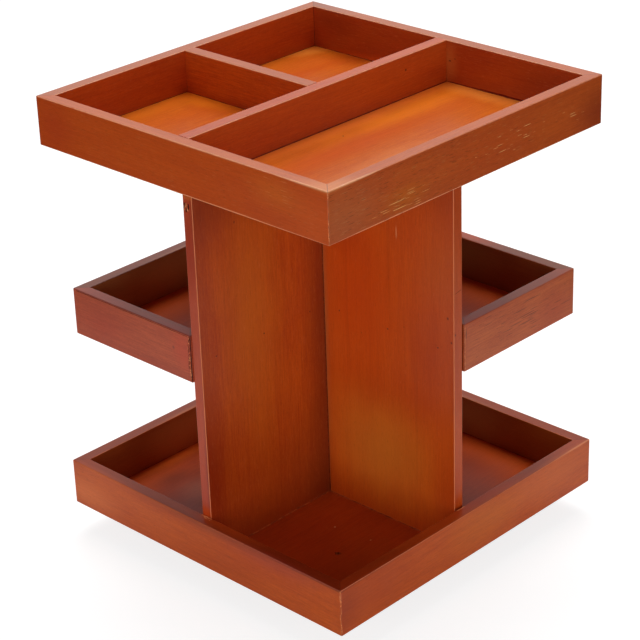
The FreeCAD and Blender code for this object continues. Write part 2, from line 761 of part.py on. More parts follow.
def build_top():
    """Top tray: floor nailed to the panels, four sides, one long and one short divider."""
    width, thickness = cell("top_width"), cell("top_rim_thickness")
    corner = (f"-({width} / 2)", f"-({width} / 2)")
    inset = floor_inset(thickness)
    origin = (f"{corner[0]} + {inset}", f"{corner[1]} + {inset}")
    brads = [place_xy for group_ in floor_brad_places().values() for place_xy in group_]
    build_floor("top_floor", width, thickness, corner, TOP_BOTTOM, [
        ("XY_Plane", "0", shifted(brads, origin), cell("floor_thickness"), True)])
    build_rims("top", width, thickness, corner, TOP_BOTTOM)

    half = f"({width} / 2 - {thickness} - Sizes.divider_clearance)"
    height = "Sizes.rim_height - Sizes.floor_thickness"
    wall = cell("divider_thickness")
    radius = cell("edge_radius")
    top = value(height)
    long_back_y = f"(Sizes.long_divider_offset + {wall} / 2)"
    short_start_y = f"({long_back_y} + Sizes.divider_clearance)"
    dividers = {
        "long_divider": ((f"2 * {half}", wall),
                         (f"-({half})", f"Sizes.long_divider_offset - {wall} / 2")),
        "short_divider": ((wall, f"{half} - {short_start_y}"),
                          (f"Sizes.short_divider_offset - {wall} / 2", short_start_y)),
    }
    for name, (size, low) in dividers.items():
        body = build_board(name, (*size, height), (*low, TOP_FLOOR_TOP))
        run = "XLength" if name == "long_divider" else "YLength"
        ease_edges(body, radius, lambda edge: edge.BoundBox.ZMin > 0.999 * top
                   and getattr(edge.BoundBox, run) > 0.99 * edge.Length)


def check_and_write():
    """Stops on any failed object or bad shape, then writes each sub-part to its own file."""
    doc.recompute()
    for item in doc.Objects:
        if "Invalid" in item.State or "Error" in item.State:
            raise RuntimeError(f"{item.Label} failed: {item.State}")
    for node in nodes:
        if node.Shape.isNull() or not node.Shape.isValid() or not node.Shape.Solids:
            raise RuntimeError(f"{node.Label} has no valid solid")
    os.makedirs("parts", exist_ok=True)
    for node in nodes:
        node.Shape.exportStep(f"parts/{node.Label}.step")
    print(len(nodes), "sub-parts written")


fill_sheet()
build_stand()
build_turntable()
build_base()
build_cross()
build_small_trays()
build_top()
check_and_write()
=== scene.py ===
"""Finish, studio and camera of the revolving desk organizer.

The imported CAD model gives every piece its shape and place. Here each sub-assembly dresses its own
boards, plates and fasteners, and the studio adds the floor, the lamps and the camera.
Lengths are metres in Blender and millimetres wherever a name ends in _mm.
The organizer's front corner points to -X and -Y, so the front left sides of its trays face -X and
the front right sides face -Y.
"""

import logging
from abc import ABC, abstractmethod
from dataclasses import dataclass, field, replace
from enum import Enum
from math import radians
from random import Random

import bpy
from mathutils import Matrix, Vector, noise

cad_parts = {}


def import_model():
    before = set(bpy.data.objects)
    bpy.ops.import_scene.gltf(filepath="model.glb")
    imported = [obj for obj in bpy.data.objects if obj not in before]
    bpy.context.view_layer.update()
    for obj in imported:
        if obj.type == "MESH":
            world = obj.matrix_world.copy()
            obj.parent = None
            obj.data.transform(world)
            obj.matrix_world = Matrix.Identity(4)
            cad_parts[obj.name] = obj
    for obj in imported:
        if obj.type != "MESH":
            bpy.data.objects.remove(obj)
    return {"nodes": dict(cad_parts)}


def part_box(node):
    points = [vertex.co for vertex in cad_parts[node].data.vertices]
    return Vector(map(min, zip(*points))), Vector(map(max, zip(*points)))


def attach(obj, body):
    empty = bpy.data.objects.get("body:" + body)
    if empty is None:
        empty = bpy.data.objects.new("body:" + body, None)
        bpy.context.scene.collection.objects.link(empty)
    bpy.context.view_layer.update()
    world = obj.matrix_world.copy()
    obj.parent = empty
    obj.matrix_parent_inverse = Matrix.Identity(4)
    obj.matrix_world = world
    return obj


# A constant that is given to Graph.ease with a star says where a smooth step begins and ends and,
# if it has four numbers, the level before and after it.

LOG = logging.getLogger("organizer")
MM = 0.001

Colour = tuple[float, float, float]
Point = tuple[float, float, float]
Socket = bpy.types.NodeSocket
Piece = bpy.types.Object

UP: Point = (0, 0, 1)
ALONG_X: Point = (1, 0, 0)
ALONG_Y: Point = (0, 1, 0)
TO_LEFT: Point = (-1, 0, 0)
TO_RIGHT: Point = (0, -1, 0)
WHITE: Colour = (1.0, 1.0, 1.0)


def tint(red: float, green: float, blue: float) -> Colour:
    """Turn a display colour into the linear one that shaders take.

    Args:
        red: Red from 0 to 255.
        green: Green from 0 to 255.
        blue: Blue from 0 to 255.

    Returns:
        The linear colour.
    """

    def linear(level: float) -> float:
        """Undo the display curve for one channel."""
        share = level / 255.0
        return share / 12.92 if share <= 0.04045 else ((share + 0.055) / 1.055) ** 2.4

    return linear(red), linear(green), linear(blue)


class Axis(Enum):
    """One of the frame's three ways, for the run of the grain and for measuring."""

    X = 0
    Y = 1
    Z = 2


class End(Enum):
    """Lower or upper face of a box across one way."""

    LOW = 0
    HIGH = 1


class Side(Enum):
    """Side of a tray, by the way its outer face looks."""

    FRONT_LEFT = "front_left"
    FRONT_RIGHT = "front_right"
    BACK_LEFT = "back_left"
    BACK_RIGHT = "back_right"

    @property
    def grain(self) -> Axis:
        """Way of the grain, which runs along the side."""
        return Axis.X if self in (Side.FRONT_RIGHT, Side.BACK_LEFT) else Axis.Y


def box_face(node: str, axis: Axis, end: End) -> float:
    """Find where one face of a CAD node's box lies, to the thousandth of a millimetre."""
    return round(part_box(node)[end.value][axis.value] / MM, 3)


def measured(node: str, axis: Axis, end: End) -> float:
    """Make a dataclass field that is read off the frame when its class is made."""
    return field(default_factory=lambda: box_face(node, axis, end))


@dataclass(frozen=True)
class Streaks:
    """Noise drawn out along a board's grain.

    Attributes:
        along_mm: Length of one streak.
        across_mm: Width of one streak.
        detail: Number of finer layers.
        roughness: Strength of the finer layers.
    """

    along_mm: float
    across_mm: float
    detail: float = 2.0
    roughness: float = 0.5


BANDS = Streaks(190.0, 7.5)
FIBRES = Streaks(34.0, 1.2, roughness=0.6)
DASHES = Streaks(8.0, 0.7, roughness=0.65)
BLOTCHES = Streaks(46.0, 24.0)
PORES = Streaks(4.5, 0.42, detail=1.0)
RELIEF = Streaks(12.0, 0.8, roughness=0.6)


class Graph:
    """Short way to write a node tree."""

    def __init__(self, tree: bpy.types.NodeTree) -> None:
        """Start with an empty tree."""
        self.tree = tree
        self.tree.nodes.clear()

    def feed(self, socket: Socket, value: object) -> None:
        """Link or set one input.

        Args:
            socket: The input.
            value: Another node's output, a number, a point or a colour.
        """
        if isinstance(value, bpy.types.NodeSocket):
            self.tree.links.new(value, socket)
        elif isinstance(value, (int, float)) or socket.type == "VECTOR":
            socket.default_value = value
        else:
            socket.default_value = (*value, 1.0)

    def add(self, kind: str, *values: object, **settings: object) -> bpy.types.Node:
        """Add one node.

        Args:
            kind: Node type without its ShaderNode prefix.
            *values: Its first inputs.
            **settings: Properties to set on the node.

        Returns:
            The node.
        """
        node = self.tree.nodes.new("ShaderNode" + kind)
        for key, value in settings.items():
            setattr(node, key, value)
        for socket, value in zip(node.inputs, values):
            self.feed(socket, value)
        return node

    def fill(self, node: bpy.types.Node, **values: object) -> bpy.types.Node:
        """Link or set a node's inputs by name.

        Args:
            node: The node.
            **values: Inputs by name, with underscores for spaces.

        Returns:
            The same node.
        """
        for name, value in values.items():
            self.feed(node.inputs[name.replace("_", " ")], value)
        return node

    def math(self, operation: str, *values: object, clamp: bool = False) -> Socket:
        """Do one step of arithmetic."""
        return self.add("Math", *values, operation=operation, use_clamp=clamp).outputs[0]

    def vector(self, operation: str, *values: object) -> Socket:
        """Do one step of vector arithmetic."""
        node = self.add("VectorMath", *values, operation=operation)
        return node.outputs["Value" if operation in ("LENGTH", "DOT_PRODUCT") else "Vector"]

    def scaled(self, point: Socket, factor: float) -> Socket:
        """Multiply a point by one number."""
        return self.vector("MULTIPLY", point, (factor, factor, factor))

    def split(self, point: Socket) -> bpy.types.NodeOutputs:
        """Take a point apart into its three coordinates."""
        return self.add("SeparateXYZ", point).outputs

    def blend(self, share: object, first: object, second: object) -> Socket:
        """Lay one colour over another.

        Args:
            share: How much of the second colour shows.
            first: Colour underneath.
            second: Colour on top.

        Returns:
            The mixed colour.
        """
        node = self.add("Mix", share, data_type="RGBA")
        self.feed(node.inputs[6], first)
        self.feed(node.inputs[7], second)
        return node.outputs[2]

    def noise(self, point: Socket, detail: float = 2.0, roughness: float = 0.5) -> Socket:
        """Add soft noise with features about one unit of the point's space wide.

        Args:
            point: Where to read the noise.
            detail: Number of finer layers.
            roughness: Strength of the finer layers.

        Returns:
            The noise, about 0.5 on average.
        """
        node = self.add("TexNoise", noise_dimensions="3D")
        self.fill(node, Vector=point, Scale=1.0, Detail=detail, Roughness=roughness)
        return node.outputs["Fac"]

    def ease(self, value: object, start: float, end: float, low: float = 0.0,
             high: float = 1.0) -> Socket:
        """Step smoothly between two levels.

        Args:
            value: The number to map.
            start: Where the step begins.
            end: Where the step ends.
            low: Result before the step.
            high: Result after the step.

        Returns:
            The mapped number.
        """
        node = self.add("MapRange", value, start, end, low, high,
                        interpolation_type="SMOOTHSTEP")
        return node.outputs[0]

    def sway(self, level: Socket, reach: float, middle: object) -> Socket:
        """Let a noise move a number up and down."""
        return self.math("MULTIPLY_ADD", self.math("SUBTRACT", level, 0.5), reach, middle)


class MaterialGraph(Graph):
    """Node tree of a new material.

    Attributes:
        material: The material.
        coordinates: Its texture coordinate node.
        place: Point on the body in millimetres.
    """

    def __init__(self, name: str) -> None:
        """Start the material.

        Args:
            name: Name of the new material.
        """
        self.material = bpy.data.materials.new(name)
        self.material.use_nodes = True
        super().__init__(self.material.node_tree)
        self.coordinates = self.add("TexCoord")
        self.place = self.scaled(self.coordinates.outputs["Object"], 1.0 / MM)

    def grit(self, size_mm: float, detail: float = 3.0, roughness: float = 0.6) -> Socket:
        """Add noise with features of one size."""
        return self.noise(self.scaled(self.place, 1.0 / size_mm), detail, roughness)

    def bump(self, height: Socket, strength: float, depth_mm: float) -> Socket:
        """Raise the surface by a height.

        Args:
            height: Height from 0 to 1.
            strength: Share of the effect.
            depth_mm: Depth at full height.

        Returns:
            The bumped normal.
        """
        node = self.fill(
            self.add("Bump"), Strength=strength, Distance=depth_mm * MM, Height=height)
        return node.outputs[0]

    def finish(self, shader: bpy.types.Node) -> bpy.types.Material:
        """Send a shader to the material's output."""
        self.add("OutputMaterial", shader.outputs[0])
        return self.material

    def principled(self, colour: object, roughness: object, bump: Socket,
                   **fixed: float) -> bpy.types.Material:
        """Finish with a Principled shader.

        Args:
            colour: Base colour.
            roughness: Surface roughness.
            bump: Normal from a bump node.
            **fixed: Other inputs by name, with underscores for spaces.

        Returns:
            The material.
        """
        return self.finish(self.fill(
            self.add("BsdfPrincipled"), Base_Color=colour, Roughness=roughness, Normal=bump,
            **fixed))


class BoardGraph(MaterialGraph):
    """Node tree of one stained board.

    Attributes:
        grain: Way of the board's grain.
        normal: Way the surface looks.
        plank: Point in millimetres, moved by the board's seed.
        mottle: Broad noise shared by the whole finish.
    """

    PLANK_STEP_MM = (371.0, 197.0, 531.0)
    MITRE = (0.1, 0.5, 0.6, 0.0)

    def __init__(self, name: str, grain: Axis, seed: float) -> None:
        """Start the board's material.

        Args:
            name: Name of the new material.
            grain: Way of the grain.
            seed: Moves the figure, so that no two boards come from one plank.
        """
        super().__init__(name)
        self.grain = grain
        self.normal = self.coordinates.outputs["Normal"]
        shift = tuple(seed * step for step in self.PLANK_STEP_MM)
        self.plank = self.vector("ADD", self.place, shift)
        self.mottle = self.streaks(BLOTCHES)

    def streaks(self, streaks: Streaks) -> Socket:
        """Add noise that is long along the grain.

        Args:
            streaks: Its sizes.

        Returns:
            The noise.
        """
        factors = [1.0 / streaks.across_mm] * 3
        factors[self.grain.value] = 1.0 / streaks.along_mm
        point = self.vector("MULTIPLY", self.plank, tuple(factors))
        return self.noise(point, streaks.detail, streaks.roughness)

    def border(self, node: str) -> Socket:
        """Measure the distance to the nearest edge of the board's broad face.

        Args:
            node: Name of the board.

        Returns:
            The distance in millimetres.
        """
        low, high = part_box(node)
        middle, half = (low + high) / 2 / MM, (high - low) / 2 / MM
        centred = self.vector("ABSOLUTE", self.vector("SUBTRACT", self.place, tuple(middle)))
        inward = self.split(self.vector("SUBTRACT", tuple(half), centred))
        thin = min(range(3), key=lambda axis: half[axis])
        first, second = [inward[axis] for axis in range(3) if axis != thin]
        return self.math("MINIMUM", first, second)

    def reached(self, centre_mm: Point, reach_mm: Point) -> Socket:
        """Measure how far out a point lies in an ellipsoid."""
        offset = self.vector("SUBTRACT", self.place, centre_mm)
        return self.vector("LENGTH", self.vector("DIVIDE", offset, reach_mm))

    def facing(self, way: Point) -> Socket:
        """How squarely the surface faces one way, one where it faces it."""
        return self.vector("DOT_PRODUCT", self.normal, way)

    def mitre(self, tray_mm: Point) -> Socket:
        """Find the glue line at a tray's mitred corners.

        Args:
            tray_mm: Middle of the square tray.

        Returns:
            The share of glue, zero away from the corners.
        """
        centred = self.vector("SUBTRACT", self.place, tray_mm)
        ways = self.split(self.vector("ABSOLUTE", centred))
        across = self.math("ABSOLUTE", self.math("SUBTRACT", ways[0], ways[1]))
        return self.ease(across, *self.MITRE)


@dataclass(frozen=True)
class Cloud:
    """Soft patch laid over a board's colour; clouds are patches in the stain, marks, and painted
    light, shade and reflections.

    Attributes:
        centre_mm: Middle of the patch.
        reach_mm: How far it reaches each way.
        colour: Colour of the patch.
        strength: How much of it shows in the middle.
        core: Share of the reach that is fully covered.
    """

    RAGGED = 0.35

    centre_mm: Point
    reach_mm: Point
    colour: Colour
    strength: float = 0.6
    core: float = 0.0

    def lay(self, board: BoardGraph, colour: Socket) -> Socket:
        """Lay the patch over a board's colour.

        Args:
            board: Node tree of the board.
            colour: Colour so far.

        Returns:
            The colour with the patch.
        """
        reached = board.reached(self.centre_mm, self.reach_mm)
        ragged = board.sway(board.mottle, self.RAGGED, reached)
        share = board.ease(ragged, self.core, 1.0, self.strength, 0.0)
        return board.blend(share, colour, self.colour)


@dataclass(frozen=True)
class FaceShading:
    """Painted light and shade on the faces that look one way.

    Attributes:
        way: The way those faces look.
        colour: Colour that is laid over them.
        strength: How much it covers.
    """

    SQUARE_ON = (0.5, 0.95)

    way: Point
    colour: Colour
    strength: float = 0.5

    def lay(self, board: BoardGraph, colour: Socket) -> Socket:
        """Lay this painted light and shade over a board's colour."""
        share = board.ease(board.facing(self.way), *self.SQUARE_ON, 0.0, self.strength)
        return board.blend(share, colour, self.colour)


@dataclass(frozen=True)
class Scratches:
    """Patch of fine broken lines along the grain, light scratches or dark open pores.

    Attributes:
        centre_mm: Middle of the patch.
        reach_mm: How far it reaches each way.
        amount: Share of the patch that is lined.
        colour: Colour of the lines.
        along_mm: Room along the grain that each line gets.
        across_mm: Room across the grain that each line gets.
    """

    FULL_TO = 0.2
    UPRIGHT = (0.2, 0.6, 1.0, 0.0)
    SHORTEST = 0.07
    LONGER_BY = 0.16
    LINE = (0.5, 1.0, 0.9, 0.0)

    centre_mm: Point
    reach_mm: Point
    amount: float = 0.5
    colour: Colour = tint(255, 196, 124)
    along_mm: float = 24.0
    across_mm: float = 1.3

    def lay(self, board: BoardGraph, colour: Socket) -> Socket:
        """Line the upright faces of a board inside the patch.

        Args:
            board: Node tree of the board.
            colour: Colour so far.

        Returns:
            The colour with the lines.
        """
        reached = board.reached(self.centre_mm, self.reach_mm)
        inside = board.ease(reached, self.FULL_TO, 1.0, self.amount, 0.0)
        upright = board.ease(board.facing(UP), *self.UPRIGHT)
        inside = board.math("MULTIPLY", inside, upright)
        per_mm = (1.0 / self.along_mm, 1.0 / self.along_mm, 1.0 / self.across_mm)
        spread = board.split(board.vector("MULTIPLY", board.plank, per_mm))
        flat = board.add("CombineXYZ", spread[board.grain.value], spread[2])
        cells = board.fill(board.add("TexVoronoi", voronoi_dimensions="2D"),
                           Vector=flat.outputs[0], Scale=1.0).outputs
        chance = board.add("SeparateColor", cells["Color"]).outputs
        size = board.math("MULTIPLY_ADD", board.math("POWER", chance[0], 2.0), self.LONGER_BY,
                          self.SHORTEST)
        line = board.ease(board.math("DIVIDE", cells["Distance"], size), *self.LINE)
        there = board.math("LESS_THAN", chance[1], inside)
        return board.blend(board.math("MULTIPLY", line, there), colour, self.colour)


@dataclass(frozen=True)
class Paint:
    """What is laid over one board's stain.

    Attributes:
        face_shading: Painted light and shade on its faces, laid first.
        clouds: Soft patches over them; among them are painted light, shade and reflections.
        scratches: Lined patches over the open pores.
    """

    face_shading: tuple[FaceShading, ...] = ()
    clouds: tuple[Cloud, ...] = ()
    scratches: tuple[Scratches, ...] = ()


@dataclass(frozen=True)
class StainedWood:
    """Semi-gloss cherry stain on a light close-grained wood.

    Attributes:
        name: Name of the finish.
        light: Colour between the fibres.
        deep: Colour where the stain gathers.
        edge: Band colour along the edges; painted shade on low floors and panels, painted light on
            the top floor, darker elsewhere.
        worn: Colour of the rounded arrises: rubbed bare wood on most boards, painted shade on the
            left tray's sides.
        contrast: Strength of the grain.
        banding: Strength of its long bands.
        edge_width_mm: Width of that band along the edges.
        edge_strength: How much the band's colour covers.
        wear: How much of the worn colour the arrises take.
        unbroken: Share of an arris that takes it without a break.
        upright: How much of that an upright arris gets.
        roughness: Dullness of the lacquer.
        sheen: Specular level of the lacquer.
    """

    name: str
    light: Colour
    deep: Colour
    edge: Colour
    worn: Colour
    contrast: float = 1.0
    banding: float = 0.7
    edge_width_mm: float = 14.0
    edge_strength: float = 0.5
    wear: float = 0.6
    unbroken: float = 0.5
    upright: float = 1.0
    roughness: float = 0.32
    sheen: float = 0.5

    PORE_STAIN = tint(60, 12, 4)
    MITRE_GLUE = tint(84, 26, 12)
    OPEN_PORES = (0.62, 0.76, 0.0, 0.22)
    PALE_FLECKS = (0.24, 0.38, 0.14, 0.0)
    ROUNDED = (0.78, 0.99, 1.0, 0.0)
    STEEP = (0.1, 0.4)
    LEAST_RUBBED = 0.34
    RUBBED_SPREAD = 0.3
    FIBRE_WEIGHT = 1.6
    DASH_WEIGHT = 1.5
    MOTTLE_WEIGHT = 1.0
    SPECK_WEIGHT = 0.7
    SPECK_MM = 1.0 / 0.9
    WORN_MM = 1.0 / 0.16
    GLOSS_SWAY = 0.12
    PORE_SINK = -0.6
    RELIEF_STRENGTH = 0.22
    RELIEF_MM = 0.12

    def figure(self, board: BoardGraph) -> Socket:
        """Work out the depth of the stain: long bands, fibres, specks and blotches.

        Args:
            board: Node tree of the board.

        Returns:
            The depth from 0, light, to 1, deep.
        """
        layers = (
            (board.streaks(BANDS), self.banding),
            (board.streaks(FIBRES), self.FIBRE_WEIGHT),
            (board.streaks(DASHES), self.DASH_WEIGHT),
            (board.mottle, self.MOTTLE_WEIGHT),
            (board.noise(board.scaled(board.plank, 1.0 / self.SPECK_MM), 1.0), self.SPECK_WEIGHT),
        )
        depth: object = 0.0
        for level, weight in layers:
            depth = board.sway(level, weight * self.contrast, depth)
        return board.math("ADD", depth, 0.5, clamp=True)

    def rubbed(self, board: BoardGraph) -> Socket:
        """Find where the rounded arrises take the worn colour.

        Args:
            board: Node tree of the board.

        Returns:
            The share that takes the worn colour, zero on flat faces.
        """
        ways = board.split(board.vector("ABSOLUTE", board.normal))
        flattest = board.math("MAXIMUM", board.math("MAXIMUM", ways[0], ways[1]), ways[2])
        rounded = board.ease(flattest, *self.ROUNDED)
        start = self.LEAST_RUBBED - self.RUBBED_SPREAD * self.unbroken
        patchy = board.noise(board.scaled(board.plank, 1.0 / self.WORN_MM), 3.0, 0.6)
        broken = board.ease(patchy, start, start + self.RUBBED_SPREAD)
        level = board.ease(ways[2], *self.STEEP, self.wear * self.upright, self.wear)
        return board.math("MULTIPLY", board.math("MULTIPLY", rounded, broken), level)

    def dress(self, node: Piece, grain: Axis, seed: float, paint: Paint,
              tray_mm: Point | None) -> None:
        """Give one board this finish.

        Args:
            node: The board.
            grain: Way of its grain.
            seed: Moves the figure, so that no two boards come from one plank.
            paint: What is laid over its stain.
            tray_mm: Middle of the square tray whose corners the board is mitred into, if any.
        """
        board = BoardGraph(f"{self.name}_{node.name}", grain, seed)
        colour = board.blend(self.figure(board), self.light, self.deep)
        # Edge band: painted shade on the low floors and panels, painted light on the top floor, a
        # darker edge on other boards.
        ragged = board.sway(board.mottle, self.edge_width_mm, board.border(node.name))
        edge_band = board.ease(ragged, 0.0, self.edge_width_mm, self.edge_strength, 0.0)
        colour = board.blend(edge_band, colour, self.edge)
        # Face shading and many clouds lay painted light, shade and reflections into the colour.
        for layer in (*paint.face_shading, *paint.clouds):
            colour = layer.lay(board, colour)
        pores = board.streaks(PORES)
        colour = board.blend(board.ease(pores, *self.OPEN_PORES), colour, self.PORE_STAIN)
        colour = board.blend(board.ease(pores, *self.PALE_FLECKS), colour, self.worn)
        for patch in paint.scratches:
            colour = patch.lay(board, colour)
        if tray_mm is not None:
            colour = board.blend(board.mitre(tray_mm), colour, self.MITRE_GLUE)
        colour = board.blend(self.rubbed(board), colour, self.worn)

        relief = board.math("MULTIPLY_ADD", pores, self.PORE_SINK, board.streaks(RELIEF))
        put_on(node, board.principled(
            colour, board.sway(board.mottle, self.GLOSS_SWAY, self.roughness),
            board.bump(relief, self.RELIEF_STRENGTH, self.RELIEF_MM),
            Specular_IOR_Level=self.sheen))


@dataclass(frozen=True)
class Finish(ABC):
    """How one kind of small piece looks.

    Attributes:
        name: Name of the finish.
        colour: Its main colour.
    """

    name: str
    colour: Colour

    @abstractmethod
    def shade(self, graph: MaterialGraph) -> bpy.types.Material:
        """Write the finish's material.

        Args:
            graph: Its node tree.

        Returns:
            The material.
        """

    def dress(self, node: Piece) -> None:
        """Give one piece this finish."""
        put_on(node, self.shade(MaterialGraph(f"{self.name}_{node.name}")))


@dataclass(frozen=True)
class BareMetal(Finish):
    """Plated or polished steel.

    Attributes:
        roughness: Dullness of the plating.
        mark_mm: Size of the marks in it.
    """

    MARKS = (0.35, 0.65, 0.72, 1.0)
    MARK_COLOUR = 0.6
    GLOSS_SWAY = 0.25
    RELIEF_STRENGTH = 0.15
    RELIEF_MM = 0.05

    roughness: float
    mark_mm: float

    def shade(self, graph: MaterialGraph) -> bpy.types.Material:
        """Write darker, shinier marks into bright metal.

        Args:
            graph: The material's node tree.

        Returns:
            The material.
        """
        marks = graph.grit(self.mark_mm, 4.0, 0.65)
        dark = tuple(self.MARK_COLOUR * level for level in self.colour)
        colour = graph.blend(graph.ease(marks, *self.MARKS), dark, self.colour)
        gloss = graph.math("MULTIPLY_ADD", marks, self.GLOSS_SWAY, self.roughness - 0.1)
        bump = graph.bump(marks, self.RELIEF_STRENGTH, self.RELIEF_MM)
        return graph.principled(colour, gloss, bump, Metallic=1.0)


@dataclass(frozen=True)
class FootRubber(Finish):
    """Moulded black rubber.

    Attributes:
        bloom: Colour of the greyish bloom on it.
    """

    GRIT_MM = 1.0 / 2.2
    BLOOM_MM = 1.0 / 0.3
    BLOOM = (0.4, 0.75, 0.0, 0.35)
    GLOSS = (0.2, 0.6)
    RELIEF_STRENGTH = 0.3
    RELIEF_MM = 0.08

    bloom: Colour

    def shade(self, graph: MaterialGraph) -> bpy.types.Material:
        """Write fine grit and patches of bloom.

        Args:
            graph: The material's node tree.

        Returns:
            The material.
        """
        grit = graph.grit(self.GRIT_MM)
        bloom = graph.ease(graph.grit(self.BLOOM_MM, 2.0, 0.5), *self.BLOOM)
        colour = graph.blend(bloom, self.colour, self.bloom)
        gloss = graph.math("MULTIPLY_ADD", grit, *self.GLOSS)
        return graph.principled(
            colour, gloss, graph.bump(grit, self.RELIEF_STRENGTH, self.RELIEF_MM))


@dataclass(frozen=True)
class NailFiller(Finish):
    """Stopping over a sunk brad, stained with the wood.

    Attributes:
        dark: Colour of its darker grains.
    """

    GRIT_MM = 1.0 / 1.6
    DARK_GRAINS = (0.3, 0.7)
    ROUGHNESS = 0.5
    RELIEF_STRENGTH = 0.3
    RELIEF_MM = 0.1

    dark: Colour

    def shade(self, graph: MaterialGraph) -> bpy.types.Material:
        """Write two colours of coarse grain.

        Args:
            graph: The material's node tree.

        Returns:
            The material.
        """
        grit = graph.grit(self.GRIT_MM)
        colour = graph.blend(graph.ease(grit, *self.DARK_GRAINS), self.colour, self.dark)
        return graph.principled(
            colour, self.ROUGHNESS, graph.bump(grit, self.RELIEF_STRENGTH, self.RELIEF_MM))


@dataclass(frozen=True)
class JointFiller(Finish):
    """Glue, stopping, torn lacquer and painted shade along a joint.

    Attributes:
        patches: Colour of its patches.
        grit_mm: Size of the patches.
        sheen: Specular level.
    """

    PATCHES = (0.38, 0.6)
    GLOSS = (0.2, 0.5)
    RELIEF_STRENGTH = 0.3
    RELIEF_MM = 0.1

    patches: Colour
    grit_mm: float = 3.0
    sheen: float = 0.15

    def shade(self, graph: MaterialGraph) -> bpy.types.Material:
        """Write patches of the second colour.

        Args:
            graph: The material's node tree.

        Returns:
            The material.
        """
        grit = graph.grit(self.grit_mm)
        colour = graph.blend(graph.ease(grit, *self.PATCHES), self.colour, self.patches)
        gloss = graph.math("MULTIPLY_ADD", grit, *self.GLOSS)
        bump = graph.bump(grit, self.RELIEF_STRENGTH, self.RELIEF_MM)
        return graph.principled(colour, gloss, bump, Specular_IOR_Level=self.sheen)


def put_on(node: Piece, material: bpy.types.Material) -> None:
    """Put a material in every slot of an object.

    Args:
        node: The object.
        material: The material.
    """
    if not node.data.materials:
        node.data.materials.append(material)
    for index in range(len(node.data.materials)):
        node.data.materials[index] = material


